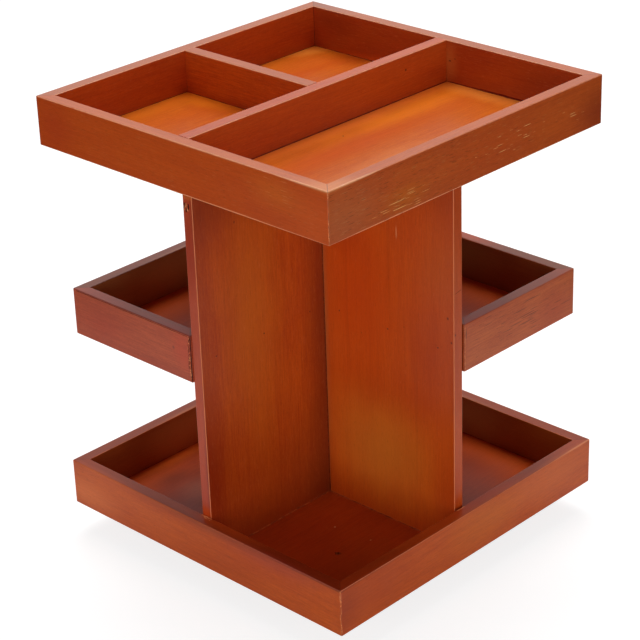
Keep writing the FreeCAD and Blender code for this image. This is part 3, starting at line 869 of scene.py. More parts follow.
class Moulding:
    """Points and faces of one thin piece, in millimetres.

    Attributes:
        points: Its points.
        faces: Its faces, as places in the list of points.
    """

    SUNK_MM = 0.05
    BEAD_STEP_MM = 3.0
    BEAD_HOLLOW = 0.36
    BEAD_FULLNESS = 0.6
    BEAD_WAVE = (0.37, 0.8)
    BEAD_RIPPLE = (1.9, 0.25)
    RIPPLE_SEED = 7.0
    STRIP_CREST = 0.8
    ARRIS_MM = 1.0
    FLECK_LENGTHS_MM = (0.8, 4.5)
    FLECK_LEAST_MM = 0.15
    FLECK_THICKNESS_MM = 0.04
    FLECK_DRIFT = 0.3
    FLECK_PACE = (0.35, 0.9)

    def __init__(self) -> None:
        """Start with nothing."""
        self.points: list[Vector] = []
        self.faces: list[tuple[int, ...]] = []

    def bar(self, rings: list[list[Vector]]) -> None:
        """Join rings of points into one closed bar.

        Args:
            rings: Rings with the same number of points, along the bar.
        """
        start, count = len(self.points), len(rings[0])
        for ring in rings:
            self.points.extend(ring)
        for step in range(len(rings) - 1):
            near, far = start + step * count, start + (step + 1) * count
            for index in range(count):
                after = (index + 1) % count
                self.faces.append((near + index, near + after, far + after, far + index))
        last = start + (len(rings) - 1) * count
        self.faces.append(tuple(start + index for index in reversed(range(count))))
        self.faces.append(tuple(last + index for index in range(count)))

    def bead(self, start: Point, end: Point, first: Point, second: Point, size_mm: float,
             seed: float, least: float = 0.12) -> None:
        """Run a thin uneven fillet along the corner between two faces.

        Args:
            start: One end of the corner line.
            end: Its other end.
            first: Way along the first face, away from the corner.
            second: Way along the second face.
            size_mm: Width of the fillet where it is fullest.
            seed: Moves its unevenness.
            least: Share of that width where it is thinnest.
        """
        begin, finish = Vector(start), Vector(end)
        one, two = Vector(first), Vector(second)
        steps = max(4, int((finish - begin).length / self.BEAD_STEP_MM))
        wave_pace, wave_share = self.BEAD_WAVE
        ripple_pace, ripple_share = self.BEAD_RIPPLE
        rings = []
        for step in range(steps + 1):
            spot = begin.lerp(finish, step / steps)
            wave = noise.noise(Vector((step * wave_pace, seed, 0.0)))
            ripple = noise.noise(Vector((step * ripple_pace, seed + self.RIPPLE_SEED, 0.0)))
            full = self.BEAD_FULLNESS + wave_share * wave + ripple_share * ripple
            size = size_mm * max(least, min(1.0, full))
            rings.append([
                spot - self.SUNK_MM * (one + two), spot + one * size,
                spot + (one + two) * (self.BEAD_HOLLOW * size), spot + two * size])
        self.bar(rings)

    def seam_round(self, low: Point, high: Point, size_mm: float, seed: float) -> None:
        """Run a thin bead where a floor meets the four walls round it.

        Args:
            low: Corner of the clear floor with the lowest coordinates.
            high: Opposite corner, at the same height.
            size_mm: Width of the bead.
            seed: Moves its unevenness.
        """
        height = low[2]
        corners = [(low[0], low[1], height), (high[0], low[1], height),
                   (high[0], high[1], height), (low[0], high[1], height)]
        for number, inward in enumerate((ALONG_Y, TO_LEFT, TO_RIGHT, ALONG_X)):
            self.bead(corners[number], corners[(number + 1) % 4], inward, UP, size_mm,
                      seed + number)

    def ragged_strip(self, start: Point, end: Point, across: Point, out: Point,
                     widths_mm: tuple[float, float], thickness_mm: float, seed: int,
                     step_mm: float = 0.7) -> None:
        """Lay a thin strip with torn edges on a face.

        Args:
            start: One end of its middle line.
            end: The other end.
            across: Way of its width.
            out: Way off the face.
            widths_mm: Least and greatest width.
            thickness_mm: Thickness off the face.
            seed: Seed of the torn edges.
            step_mm: Length of one tear.
        """
        chance = Random(seed)
        begin, finish = Vector(start), Vector(end)
        wide, up = Vector(across), Vector(out)
        steps = max(3, int((finish - begin).length / step_mm))
        rings = []
        for step in range(steps + 1):
            spot = begin.lerp(finish, step / steps)
            left = wide * (chance.uniform(*widths_mm) / 2)
            right = wide * (chance.uniform(*widths_mm) / 2)
            rings.append([
                spot - left - up * self.SUNK_MM, spot + right - up * self.SUNK_MM,
                spot + right * self.STRIP_CREST + up * thickness_mm,
                spot - left * self.STRIP_CREST + up * thickness_mm])
        self.bar(rings)

    def worn_arris(self, corner: tuple[float, float], heights: tuple[float, float],
                   share: float, most_mm: float, spread_mm: float, seed: int) -> None:
        """Lay flecks of bare wood down the front corner of a tray, on its rounded arris.

        Args:
            corner: Where the two outer faces would meet.
            heights: Lower and upper end of the worn stretch.
            share: Share of the arris with a fleck on it.
            most_mm: Greatest width of a fleck.
            spread_mm: How far the flecks stray from the arris's middle.
            seed: Seed of their sizes and places.
        """
        chance = Random(seed)
        out, across = Vector((-1, -1, 0)).normalized(), Vector((1, -1, 0)).normalized()
        middle = Vector((*corner, 0)) - out * (self.ARRIS_MM * (2 ** 0.5 - 1))
        height = heights[0]
        while height < heights[1]:
            length = chance.uniform(*self.FLECK_LENGTHS_MM)
            aside = chance.uniform(-spread_mm, spread_mm)
            if chance.random() < share:
                sunk = self.ARRIS_MM - (self.ARRIS_MM ** 2 - aside ** 2) ** 0.5
                low = middle + across * aside - out * sunk + Vector((0, 0, height))
                drift = chance.uniform(-self.FLECK_DRIFT, self.FLECK_DRIFT) * spread_mm
                high = low + across * drift + Vector((0, 0, length))
                high.z = min(high.z, heights[1])
                self.ragged_strip(
                    low, high, across, out, (self.FLECK_LEAST_MM, most_mm),
                    self.FLECK_THICKNESS_MM, seed * 100 + int(height * 10))
            height += length * chance.uniform(*self.FLECK_PACE)

    def piece(self, name: str, slot: str) -> Piece:
        """Make the piece and fasten it to the carousel.

        Args:
            name: Name of the piece.
            slot: Not used.

        Returns:
            The piece.
        """
        mesh = bpy.data.meshes.new(name)
        mesh.from_pydata([point * MM for point in self.points], [], self.faces)
        mesh.update()
        made = bpy.data.objects.new(name, mesh)
        bpy.context.scene.collection.objects.link(made)
        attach(made, "carousel")
        return made


RIM_STAIN = StainedWood(
    "rim_stain", light=tint(210, 92, 22), deep=tint(180, 66, 12), edge=tint(170, 52, 10),
    worn=tint(240, 166, 116), contrast=0.95, banding=1.1, edge_width_mm=7.0,
    edge_strength=0.15, wear=0.8, unbroken=0.6, upright=0.2)
BASE_RIM_STAIN = StainedWood(
    "base_rim_stain", light=tint(218, 98, 20), deep=tint(184, 68, 12), edge=tint(160, 46, 10),
    worn=tint(228, 132, 88), contrast=0.6, edge_width_mm=7.0, edge_strength=0.15, wear=0.7,
    upright=0.4, sheen=0.36)
# The left tray's sides take a dark worn colour on their rounded arrises: painted shade where the
# arris turns from the light.
LEFT_RIM_STAIN = StainedWood(
    "left_rim_stain", light=tint(207, 92, 50), deep=tint(180, 70, 38), edge=tint(172, 56, 28),
    worn=tint(84, 18, 12), edge_width_mm=7.0, edge_strength=0.2, wear=0.9, unbroken=0.8,
    sheen=0.45)
RIGHT_RIM_STAIN = StainedWood(
    "right_rim_stain", light=tint(212, 106, 50), deep=tint(186, 80, 36), edge=tint(172, 62, 30),
    worn=tint(170, 70, 40), edge_width_mm=7.0, edge_strength=0.2, wear=0.4, sheen=0.45)
# The panels' darker edge band is painted shade under the top tray and in the corners between them;
# it also darkens their outer ends.
PANEL_STAIN = StainedWood(
    "panel_stain", light=tint(202, 86, 18), deep=tint(172, 58, 9), edge=tint(136, 32, 7),
    worn=tint(232, 146, 98), contrast=1.0, banding=1.1, edge_width_mm=16.0,
    edge_strength=0.3, wear=0.8, unbroken=0.75, sheen=0.42)
# The top floor's lighter edge band is painted light along its walls.
TOP_FLOOR_STAIN = StainedWood(
    "top_floor_stain", light=tint(214, 104, 12), deep=tint(196, 82, 6), edge=tint(218, 120, 34),
    worn=tint(220, 140, 80), contrast=0.95, banding=0.6, edge_width_mm=26.0, edge_strength=0.3,
    roughness=0.34, sheen=0.22)
# The low floors' darker edge band is painted shade along their walls.
LOW_FLOOR_STAIN = StainedWood(
    "low_floor_stain", light=tint(196, 80, 22), deep=tint(166, 56, 13), edge=tint(130, 32, 8),
    worn=tint(200, 120, 70), contrast=0.55, banding=0.5, edge_width_mm=24.0, edge_strength=0.4,
    roughness=0.36, sheen=0.33)
BOARD_STAIN = StainedWood(
    "board_stain", light=tint(150, 66, 28), deep=tint(110, 40, 14), edge=tint(90, 30, 10),
    worn=tint(190, 120, 80), wear=0.5)
GLUE = JointFiller("glue", tint(186, 86, 38), tint(140, 52, 20), 4.0, 0.3)
RUBBED_EDGE = JointFiller("rubbed_edge", tint(246, 156, 98), tint(206, 106, 56), 3.0, 0.3)
# Dark joint colour, also used for a painted shade line under the left tray's upper arris.
DARK_JOINT_AND_SHADE = JointFiller("dark_joint_and_shade", tint(66, 18, 8), tint(100, 32, 12), 3.0)
TORN_LACQUER = JointFiller("torn_lacquer", tint(248, 168, 110), tint(184, 76, 42), 1.6)
# Dark lines at the top floor's joints: painted shade along the long divider's foot, and an open
# joint.
SHADE_LINE = JointFiller("shade_line", tint(128, 34, 12), tint(96, 20, 6), 5.0)
# Seam beads: the crack between parts, with its painted shade.
SEAM_SHADE = JointFiller("seam", tint(150, 60, 22), tint(104, 36, 12), 3.0)
NAIL_FILLER = NailFiller("nail_filler", tint(128, 46, 14), tint(84, 28, 8))
FOOT_RUBBER = FootRubber("foot_rubber", tint(34, 33, 33), tint(70, 68, 66))
ZINC_SCREW = BareMetal("zinc_screw", tint(196, 194, 186), 0.36, 1.2)
ZINC_SHEET = BareMetal("zinc_sheet", tint(190, 192, 188), 0.4, 9.0)
ZINC_RIVET = BareMetal("zinc_sheet", tint(196, 196, 190), 0.34, 4.0)
CAGE_SHEET = BareMetal("cage_sheet", tint(150, 150, 150), 0.42, 3.0)
BALL_STEEL = BareMetal("ball_steel", tint(222, 222, 224), 0.16, 2.0)
SEAM_MM = 0.4


@dataclass
class SubAssembly(ABC):
    """Pieces that are made and dressed together.

    Attributes:
        nodes: The CAD objects by name.
        dressed: Names of the pieces that have their finish.
    """

    nodes: dict[str, Piece]
    dressed: list[str] = field(default_factory=list, init=False)

    @abstractmethod
    def dress(self) -> None:
        """Make the thin pieces and give every piece its finish."""

    def report(self, name: str) -> None:
        """Note that a piece has its finish."""
        LOG.info("%s: %s", type(self).__name__, name)
        self.dressed.append(name)

    def coat(self, finish: Finish, *names: str) -> None:
        """Give CAD pieces one finish.

        Args:
            finish: The finish.
            *names: Names of the pieces.
        """
        for name in names:
            finish.dress(self.nodes[name])
            self.report(name)

    def stain(self, stain: StainedWood, name: str, grain: Axis, seed: float,
              paint: Paint = Paint(), tray_mm: Point | None = None) -> None:
        """Give a board its stain."""
        stain.dress(self.nodes[name], grain, seed, paint, tray_mm)
        self.report(name)

    def trim(self, finish: JointFiller, piece: Piece) -> None:
        """Give a thin piece its finish."""
        finish.dress(piece)
        self.report(piece.name)


@dataclass
class Stand(SubAssembly):
    """Foot board on four screwed rubber feet."""

    def dress(self) -> None:
        """Give the board, the feet and their screws their finishes."""
        self.stain(BOARD_STAIN, "foot_board", Axis.X, 0.3)
        self.coat(FOOT_RUBBER, *(f"rubber_foot_{corner}" for corner in (
            "front", "left", "back", "right")))
        self.coat(ZINC_SCREW, "foot_screws")


@dataclass
class Turntable(SubAssembly):
    """Two stamped plates, their balls and cage, the rivet and the screws."""

    def dress(self) -> None:
        """Give the bearing and its screws their finishes."""
        self.coat(ZINC_SHEET, "turntable_lower_plate", "turntable_upper_plate")
        self.coat(ZINC_RIVET, "centre_rivet")
        self.coat(CAGE_SHEET, "ball_cage")
        self.coat(BALL_STEEL, "bearing_balls")
        self.coat(ZINC_SCREW, "lower_plate_screws", "upper_plate_screws")


@dataclass
class Tray(SubAssembly):
    """Floor with four mitred sides."""

    @abstractmethod
    def paint(self, side: Side) -> Paint:
        """Choose what is laid over the stain of one side.

        Args:
            side: The side.

        Returns:
            Its face shading, patches and scratches.
        """

    def stain_sides(self, stains: dict[Side, StainedWood], prefix: str, seed: float,
                    step: float, tray_mm: Point = (0.0, 0.0, 0.0)) -> None:
        """Give the four sides their stain.

        Args:
            stains: The stain of each side.
            prefix: Name that the sides begin with.
            seed: Where the first side's figure is taken from.
            step: How far on the next side's figure is taken from.
            tray_mm: Middle of the tray.
        """
        for number, side in enumerate(Side):
            self.stain(stains[side], f"{prefix}_rim_{side.value}", side.grain,
                       seed + step * number, self.paint(side), tray_mm)


@dataclass
class BaseTray(Tray):
    """Wide tray at the bottom.

    Attributes:
        floor_top_mm: Height of the floor's upper face.
        inner_half_mm: Half the clear width between the sides.
        outer_half_mm: Half the width over the sides.
        rim_foot_mm: Height of the sides' lower edge.
        rim_top_mm: Height of the sides' upper edge.
    """

    floor_top_mm: float = measured("base_floor", Axis.Z, End.HIGH)
    inner_half_mm: float = measured("base_rim_back_right", Axis.X, End.LOW)
    outer_half_mm: float = measured("base_rim_back_right", Axis.X, End.HIGH)
    rim_foot_mm: float = measured("base_rim_back_right", Axis.Z, End.LOW)
    rim_top_mm: float = measured("base_rim_back_right", Axis.Z, End.HIGH)

    def dress(self) -> None:
        """Give the floor, the brads, the sides, the seams and the chips their finishes."""
        self.stain(LOW_FLOOR_STAIN, "base_floor", Axis.X, 1.0, Paint(
            # Painted shade on the floor of the front bay, under the top tray.
            clouds=(Cloud((-80, -95, 25), (60, 50, 20), tint(140, 44, 12), 0.45),
                    # Painted shade on the floor of the left bay, under the top tray.
                    Cloud((-90, 50, 25), (60, 60, 20), tint(132, 34, 12), 0.5),
                    # This cloud and the next are a painted reflection of the back left side on the
                    # floor.
                    Cloud((-80, 106, 25), (70, 24, 9), tint(206, 86, 14), 0.4),
                    Cloud((-40, 115, 25), (56, 11, 9), tint(255, 124, 40), 0.65),
                    Cloud((-66, 94, 25), (22, 12, 9), tint(100, 24, 2), 0.4),
                    # Painted reflection on the floor of the left bay.
                    Cloud((-60, 66, 25), (24, 24, 9), tint(228, 140, 100), 0.35),
                    Cloud((16, -30, 25), (20, 44, 9), tint(255, 124, 34), 0.35),
                    Cloud((90, -52, 25), (20, 24, 9), tint(110, 28, 4), 0.45),
                    Cloud((106, -70, 25), (28, 70, 9), tint(216, 92, 16), 0.5),
                    Cloud((70, -60, 25), (60, 60, 20), tint(216, 82, 10), 0.35),
                    Cloud((-61.5, -63.6, 25), (2.2, 2.2, 9), tint(34, 14, 8), 0.7, 0.2),
                    Cloud((-38.9, -38.6, 25), (0.9, 0.9, 9), tint(236, 190, 150), 0.9, 0.4),
                    Cloud((-35.6, -68.2, 25), (1.1, 0.8, 9), tint(226, 170, 130), 0.8, 0.4))))
        self.coat(NAIL_FILLER, "base_floor_brads")
        stains = dict.fromkeys(Side, BASE_RIM_STAIN)
        stains[Side.FRONT_LEFT] = replace(BASE_RIM_STAIN, wear=0.25)
        self.stain_sides(stains, "base", seed=2.0, step=0.37)
        self.trim(SEAM_SHADE, self.seams())
        self.trim(RUBBED_EDGE, self.chips())

    def paint(self, side: Side) -> Paint:
        """Tones and patches of one side, with painted shade, light and sheen among them.

        Args:
            side: The side.

        Returns:
            What is laid over its stain.
        """
        # Painted shade: the dark colour on the rim tops under the top tray's front corner, and the
        # redder tone on the front sides' rim tops.
        dark, top_face_shading = tint(112, 24, 6), FaceShading(UP, tint(160, 52, 12), 0.6)
        return {
            Side.FRONT_LEFT: Paint((top_face_shading,), (
                # Painted shade on the rim top near the front corner.
                Cloud((-123, -108, 56), (14, 104, 4), dark, 0.85, 0.5),
                # Painted shade on the rim top at the far end.
                Cloud((-123, 112, 56), (14, 60, 3), tint(104, 32, 18), 0.8),
                Cloud((-127, -50, 42), (6, 90, 14), tint(186, 64, 22), 0.35),
                Cloud((-127, -128, 50), (3, 3, 6), BASE_RIM_STAIN.worn, 0.7),
                # Painted sheen along the upper part of the outer face.
                Cloud((-127, -66, 51), (5, 66, 11), tint(168, 60, 56), 0.42),
                Cloud((-127, -10, 54), (6, 110, 8), tint(112, 34, 18), 0.45),
                # Painted light towards the far end of the outer face.
                Cloud((-127, 112, 32), (6, 44, 16), tint(255, 140, 70), 0.35),
                Cloud((-127, 30, 34), (5, 60, 12), tint(214, 92, 14), 0.35),
                # Painted light towards the far end of the outer face.
                Cloud((-127, 95, 44), (6, 46, 26), tint(226, 106, 34), 0.4),
                Cloud((-127, -20, 30), (6, 60, 14), tint(150, 34, 10), 0.25))),
            Side.FRONT_RIGHT: Paint((top_face_shading,), (
                # Painted shade on the rim top near the front corner.
                Cloud((-112, -123, 56), (90, 14, 4), dark, 0.6, 0.5),
                Cloud((24, -123, 56), (60, 14, 3), tint(236, 84, 2), 0.8, 0.2),
                # This cloud and the next are painted shade on the rim top at the far end.
                Cloud((80, -123, 56), (40, 14, 3), tint(96, 26, 6), 0.6),
                Cloud((112, -123, 56), (34, 14, 3), tint(132, 50, 18), 0.4),
                Cloud((-96, -127, 42), (60, 6, 26), tint(172, 58, 26), 0.4),
                Cloud((-125, -127, 40), (24, 6, 30), tint(140, 46, 30), 0.4),
                Cloud((112, -127, 54.4), (36, 1.5, 1.0), tint(244, 176, 130), 0.6, 0.3),
                Cloud((14, -127, 42), (60, 6, 26), tint(222, 122, 30), 0.35),
                Cloud((-128, -127, 50), (3, 3, 6), BASE_RIM_STAIN.worn, 0.7),
                # Painted light towards the far end of the outer face.
                Cloud((90, -127, 44), (60, 6, 26), tint(226, 112, 44), 0.5))),
            Side.BACK_LEFT: Paint(
                # Painted shade on the rim top and on the inner face.
                (FaceShading(UP, tint(92, 30, 24), 0.6), FaceShading(TO_RIGHT, tint(112, 64, 34), 0.6)),
                (Cloud((-22, 118, 40), (60, 5, 30), tint(214, 128, 68), 0.75),)),
            Side.BACK_RIGHT: Paint(
                # Painted shade on the rim top and on the inner face.
                (FaceShading(UP, tint(118, 40, 18), 0.6), FaceShading(TO_LEFT, tint(96, 52, 22), 0.65)),
                (Cloud((118, -22, 40), (5, 60, 30), tint(166, 110, 64), 0.8),)),
        }[side]

    def chips(self) -> Piece:
        """Build the chipped lacquer at the feet of the panels' ends and down the front corner.

        Returns:
            The piece.
        """
        inner, top, corner = self.inner_half_mm + 0.9, self.rim_top_mm, self.outer_half_mm
        chips = Moulding()
        chips.ragged_strip((-inner, -4.4, top), (-inner, 5.0, top), ALONG_X, UP,
                           (0.5, 1.6), 0.1, 91)
        chips.ragged_strip((-inner - 1.8, -4.8, top), (-inner - 1.4, 1.0, top), ALONG_X, UP,
                           (0.1, 0.8), 0.08, 93)
        chips.ragged_strip((-6.4, -inner, top), (1.0, -inner, top), ALONG_Y, UP,
                           (0.2, 1.2), 0.1, 92)
        chips.worn_arris((-corner, -corner), (self.rim_foot_mm + 1.0, top - 0.4), 0.55, 0.7,
                         0.45, 94)
        return chips.piece("base_rim_chips", "base_rim_wood")

    def seams(self) -> Piece:
        """Build the dark line between the floor and the four sides: a crack, with its painted
        shade.

        Returns:
            The piece.
        """
        half, height = self.inner_half_mm, self.floor_top_mm
        line = Moulding()
        line.seam_round((-half, -half, height), (half, half, height), SEAM_MM, 3.0)
        return line.piece("base_floor_seams", "base_floor_wood")


@dataclass
class PanelCross(SubAssembly):
    """Through panel and the two half panels that stand on the base tray.

    Attributes:
        foot_mm: Height of the panels' foot.
        head_mm: Height of their head.
        reach_mm: How far the through panel reaches from the middle.
        front_end_mm: Front end of the front half panel.
        long_front_mm: Front face of the through panel.
        long_back_mm: Its back face.
        front_left_mm: Left face of the front half panel.
        front_right_mm: Its right face.
        rear_left_mm: Left face of the rear half panel.
        rear_right_mm: Its right face.
    """

    END_CLEAR_MM = 1.5
    GLUE_MM = 0.75
    STAIN_RUN_MM = 0.35

    foot_mm: float = measured("long_panel", Axis.Z, End.LOW)
    head_mm: float = measured("long_panel", Axis.Z, End.HIGH)
    reach_mm: float = measured("long_panel", Axis.X, End.HIGH)
    front_end_mm: float = measured("front_panel", Axis.Y, End.LOW)
    long_front_mm: float = measured("long_panel", Axis.Y, End.LOW)
    long_back_mm: float = measured("long_panel", Axis.Y, End.HIGH)
    front_left_mm: float = measured("front_panel", Axis.X, End.LOW)
    front_right_mm: float = measured("front_panel", Axis.X, End.HIGH)
    rear_left_mm: float = measured("rear_panel", Axis.X, End.LOW)
    rear_right_mm: float = measured("rear_panel", Axis.X, End.HIGH)

    def dress(self) -> None:
        """Give the panels, the brads, the glue and the torn lacquer their finishes."""
        knot = tint(92, 24, 8)
        calm = replace(PANEL_STAIN, contrast=0.8, banding=0.8)
        lively = replace(PANEL_STAIN, contrast=1.35)
        self.stain(calm, "long_panel", Axis.Z, 4.0, Paint(
            # Painted shading on the panel's end face.
            face_shading=(FaceShading(TO_LEFT, tint(216, 84, 54), 0.5),),
            clouds=(
                Cloud((-72, -3, 190), (40, 9, 120), tint(208, 106, 28), 0.55),
                # Painted shade in the corner with the front panel.
                Cloud((-4, -3, 150), (30, 9, 260), tint(104, 30, 9), 0.7),
                Cloud((-70, -3, 30), (90, 9, 110), tint(150, 50, 10), 0.5),
                # Painted shade low in that corner.
                Cloud((-10, -3, 50), (60, 9, 70), tint(84, 30, 14), 0.4),
                # Painted shadow of the top tray near the panel's outer upper corner.
                Cloud((-108, -3, 268), (46, 4, 42), tint(140, 48, 18), 0.5),
                Cloud((-114, -3, 80), (24, 4, 84), tint(130, 24, 3), 0.7),
                Cloud((-83.6, -3, 253.9), (1.1, 3, 1.3), knot, 0.7, 0.2),
                Cloud((-119, 1.3, 242), (3, 9, 42), tint(156, 36, 20), 0.55),
                Cloud((-119, 1.3, 60), (3, 9, 60), tint(176, 52, 30), 0.4),
                Cloud((-119, 1.3, 57), (3, 9, 8), tint(204, 70, 4), 0.8, 0.2),
                Cloud((-119, 1.3, 287), (3, 9, 9), tint(204, 100, 40), 0.85, 0.8))))
        self.stain(lively, "front_panel", Axis.Z, 4.61, Paint(
            # Painted shading on the front panel's face and front end.
            face_shading=(FaceShading(TO_LEFT, tint(222, 88, 14), 0.5), FaceShading(TO_RIGHT, tint(222, 92, 30), 0.5)),
            clouds=(
                Cloud((-6, -52, 74), (9, 70, 62), tint(214, 122, 38), 0.7),
                Cloud((-6, -36, 190), (9, 50, 80), tint(206, 66, 2), 0.55),
                Cloud((-6, -4, 160), (9, 4, 150), tint(196, 112, 60), 0.4),
                Cloud((-6, -96, 160), (9, 34, 80), tint(176, 54, 8), 0.45),
                Cloud((-6, -104, 225), (9, 24, 40), tint(190, 84, 18), 0.4),
                Cloud((-6, -62, 215), (9, 2.2, 70), tint(150, 48, 6), 0.18),
                Cloud((-6, -24, 150), (9, 1.8, 90), tint(160, 50, 8), 0.2),
                Cloud((-6, -84, 120), (9, 1.8, 80), tint(170, 66, 14), 0.2),
                Cloud((-6, -68.7, 239), (3, 0.5, 7), tint(255, 190, 130), 0.6, 0.3),
                Cloud((-6, -112, 60), (9, 22, 50), tint(176, 56, 10), 0.5),
                Cloud((-6, -108, 270), (9, 30, 40), tint(176, 60, 16), 0.4),
                Cloud((-6, -60, 122), (9, 70, 26), tint(180, 56, 2), 0.3),
                Cloud((-6, -24, 225), (9, 26, 24), tint(176, 50, 2), 0.35),
                Cloud((-6, -111.3, 191.3), (3, 1.3, 1.4), knot, 0.85, 0.2),
                Cloud((-6, -114.3, 175.1), (3, 1.1, 1.2), knot, 0.85, 0.2),
                Cloud((-6, -36.5, 158.1), (3, 0.9, 0.9), knot, 0.5),
                Cloud((-6, -74.1, 173.9), (3, 0.9, 0.9), knot, 0.5),
                Cloud((-4.2, -117, 180.7), (1.0, 3, 1.2), knot, 0.8, 0.2))))
        self.stain(PANEL_STAIN, "rear_panel", Axis.Z, 5.22)
        self.coat(NAIL_FILLER, "tray_brads")
        self.trim(GLUE, self.glue_beads())
        self.trim(SEAM_SHADE, self.corner_gaps())
        self.trim(DARK_JOINT_AND_SHADE, self.torn_head())
        self.trim(TORN_LACQUER, self.lifted_flakes())

    def corners(self) -> list[tuple[Point, Point]]:
        """Find the four upright corners between the panels, with the ways out of them.

        Returns:
            For each corner its place at the foot, and a point with the signs of its bay.
        """
        front, back, foot = self.long_front_mm, self.long_back_mm, self.foot_mm
        return [
            ((self.front_left_mm, front, foot), (-1, -1, 0)),
            ((self.front_right_mm, front, foot), (1, -1, 0)),
            ((self.rear_left_mm, back, foot), (-1, 1, 0)),
            ((self.rear_right_mm, back, foot), (1, 1, 0)),
        ]

    def glue_beads(self) -> Piece:
        """Build the squeezed-out glue along the panels' feet.

        Returns:
            The piece.
        """
        long_end = self.reach_mm - self.END_CLEAR_MM
        half_end = -self.front_end_mm - self.END_CLEAR_MM
        beads = Moulding()
        for number, (corner, bay) in enumerate(self.corners()):
            beads.bead(corner, (bay[0] * long_end, corner[1], corner[2]), (0, bay[1], 0), UP,
                       self.GLUE_MM, 11.0 + number)
            beads.bead(corner, (corner[0], bay[1] * half_end, corner[2]), (bay[0], 0, 0), UP,
                       self.GLUE_MM, 17.0 + number)
        return beads.piece("panel_foot_glue", "panel_wood")

    def corner_gaps(self) -> Piece:
        """Build the dark line in the panels' upright corners: stain that has run into them, with
        painted shade.

        Returns:
            The piece.
        """
        gaps = Moulding()
        for number, (corner, bay) in enumerate(self.corners()):
            gaps.bead(corner, (corner[0], corner[1], self.head_mm), (bay[0], 0, 0),
                      (0, bay[1], 0), self.STAIN_RUN_MM, 23.0 + number)
        return gaps.piece("panel_corner_stain_and_shade", "panel_wood")

    def torn_head(self) -> Piece:
        """Build the torn lacquer at the through panel's head and the crack in the front one.

        Returns:
            The piece.
        """
        torn = Moulding()
        end, face = -self.reach_mm, self.front_end_mm
        for across, height, length in ((4.0, 272.6, 4.0), (0.5, 272.2, 4.2), (2.5, 270.4, 2.8)):
            torn.ragged_strip((end, across, height), (end, across - 0.3, height + length),
                              ALONG_Y, TO_LEFT, (0.9, 1.8), 0.05, int(height * 10))
        torn.ragged_strip((-4.6, face, 209.3), (1.6, face, 210.5), UP, TO_RIGHT, (0.15, 0.5),
                          0.03, 31)
        return torn.piece("panel_end_tears", "panel_wood")

    def lifted_flakes(self) -> Piece:
        """Build the two lifted flakes of lacquer that lean together over the tear.

        Returns:
            The piece.
        """
        flakes = Moulding()
        end = -self.reach_mm
        for number, foot in enumerate((3.7, 0.9)):
            flakes.ragged_strip((end, foot, 271.6), (end, 2.2, 276.8), ALONG_Y, TO_LEFT,
                                (0.6, 1.1), 0.12, 35 + number)
        return flakes.piece("panel_end_flakes", "panel_wood")


@dataclass
class SmallTray(Tray):
    """Tray nailed to the panels at half height.

    Attributes:
        prefix: Name that its nodes begin with.
        seed: Where its boards' figure is taken from.
        sides_stain: Finish of its sides.
        foot_mm: Height of its lower edge.
        head_mm: Height of its upper edge.
    """

    SUNK_MM = 0.1

    prefix: str
    seed: float
    sides_stain: StainedWood
    foot_mm: float
    head_mm: float

    def clear_floor(self) -> tuple[Point, Point]:
        """Find the clear floor between the sides, sunk a hair into them.

        Returns:
            Its lowest and highest corner.
        """
        rim, top = f"{self.prefix}_rim_", box_face(f"{self.prefix}_floor", Axis.Z, End.HIGH)
        low = (box_face(rim + "front_left", Axis.X, End.HIGH) - self.SUNK_MM,
               box_face(rim + "front_right", Axis.Y, End.HIGH) - self.SUNK_MM, top)
        high = (box_face(rim + "back_right", Axis.X, End.LOW) + self.SUNK_MM,
                box_face(rim + "back_left", Axis.Y, End.LOW) + self.SUNK_MM, top)
        return low, high

    def dress(self) -> None:
        """Give the floor, the sides, the seams and the joint their finishes."""
        low, high = self.clear_floor()
        middle = tuple((near + far) / 2 for near, far in zip(low, high))
        self.stain(LOW_FLOOR_STAIN, f"{self.prefix}_floor", Axis.X, self.seed,
                   Paint(clouds=(self.floor_reflection(),)))
        self.stain_sides(dict.fromkeys(Side, self.sides_stain), self.prefix, self.seed,
                         step=0.41, tray_mm=middle)
        # The floor's seams: the crack round it, with its painted shade.
        seams = Moulding()
        seams.seam_round(low, high, SEAM_MM, self.seed)
        self.trim(SEAM_SHADE, seams.piece(f"{self.prefix}_floor_seams", "small_tray_floor_wood"))
        self.make_joint()

    @abstractmethod
    def floor_reflection(self) -> Cloud:
        """Choose the floor's warm patch along its back side, a painted reflection of that side.

        Returns:
            The patch.
        """

    @abstractmethod
    def make_joint(self) -> None:
        """Build and dress what shows where the tray meets the panel's end."""


# Painted shading of the small trays: near rim tops redder and far rim tops darker against the
# reflection on them, and the back sides' inner faces toned as in their shade.
NEAR_TOP = FaceShading(UP, tint(166, 54, 12), 0.5)
FAR_TOP = FaceShading(UP, tint(96, 50, 16), 0.7)
BACK_LEFT_SHADING = (FAR_TOP, FaceShading(TO_RIGHT, tint(156, 112, 62), 0.65))
BACK_RIGHT_SHADING = (FAR_TOP, FaceShading(TO_LEFT, tint(98, 62, 32), 0.65))


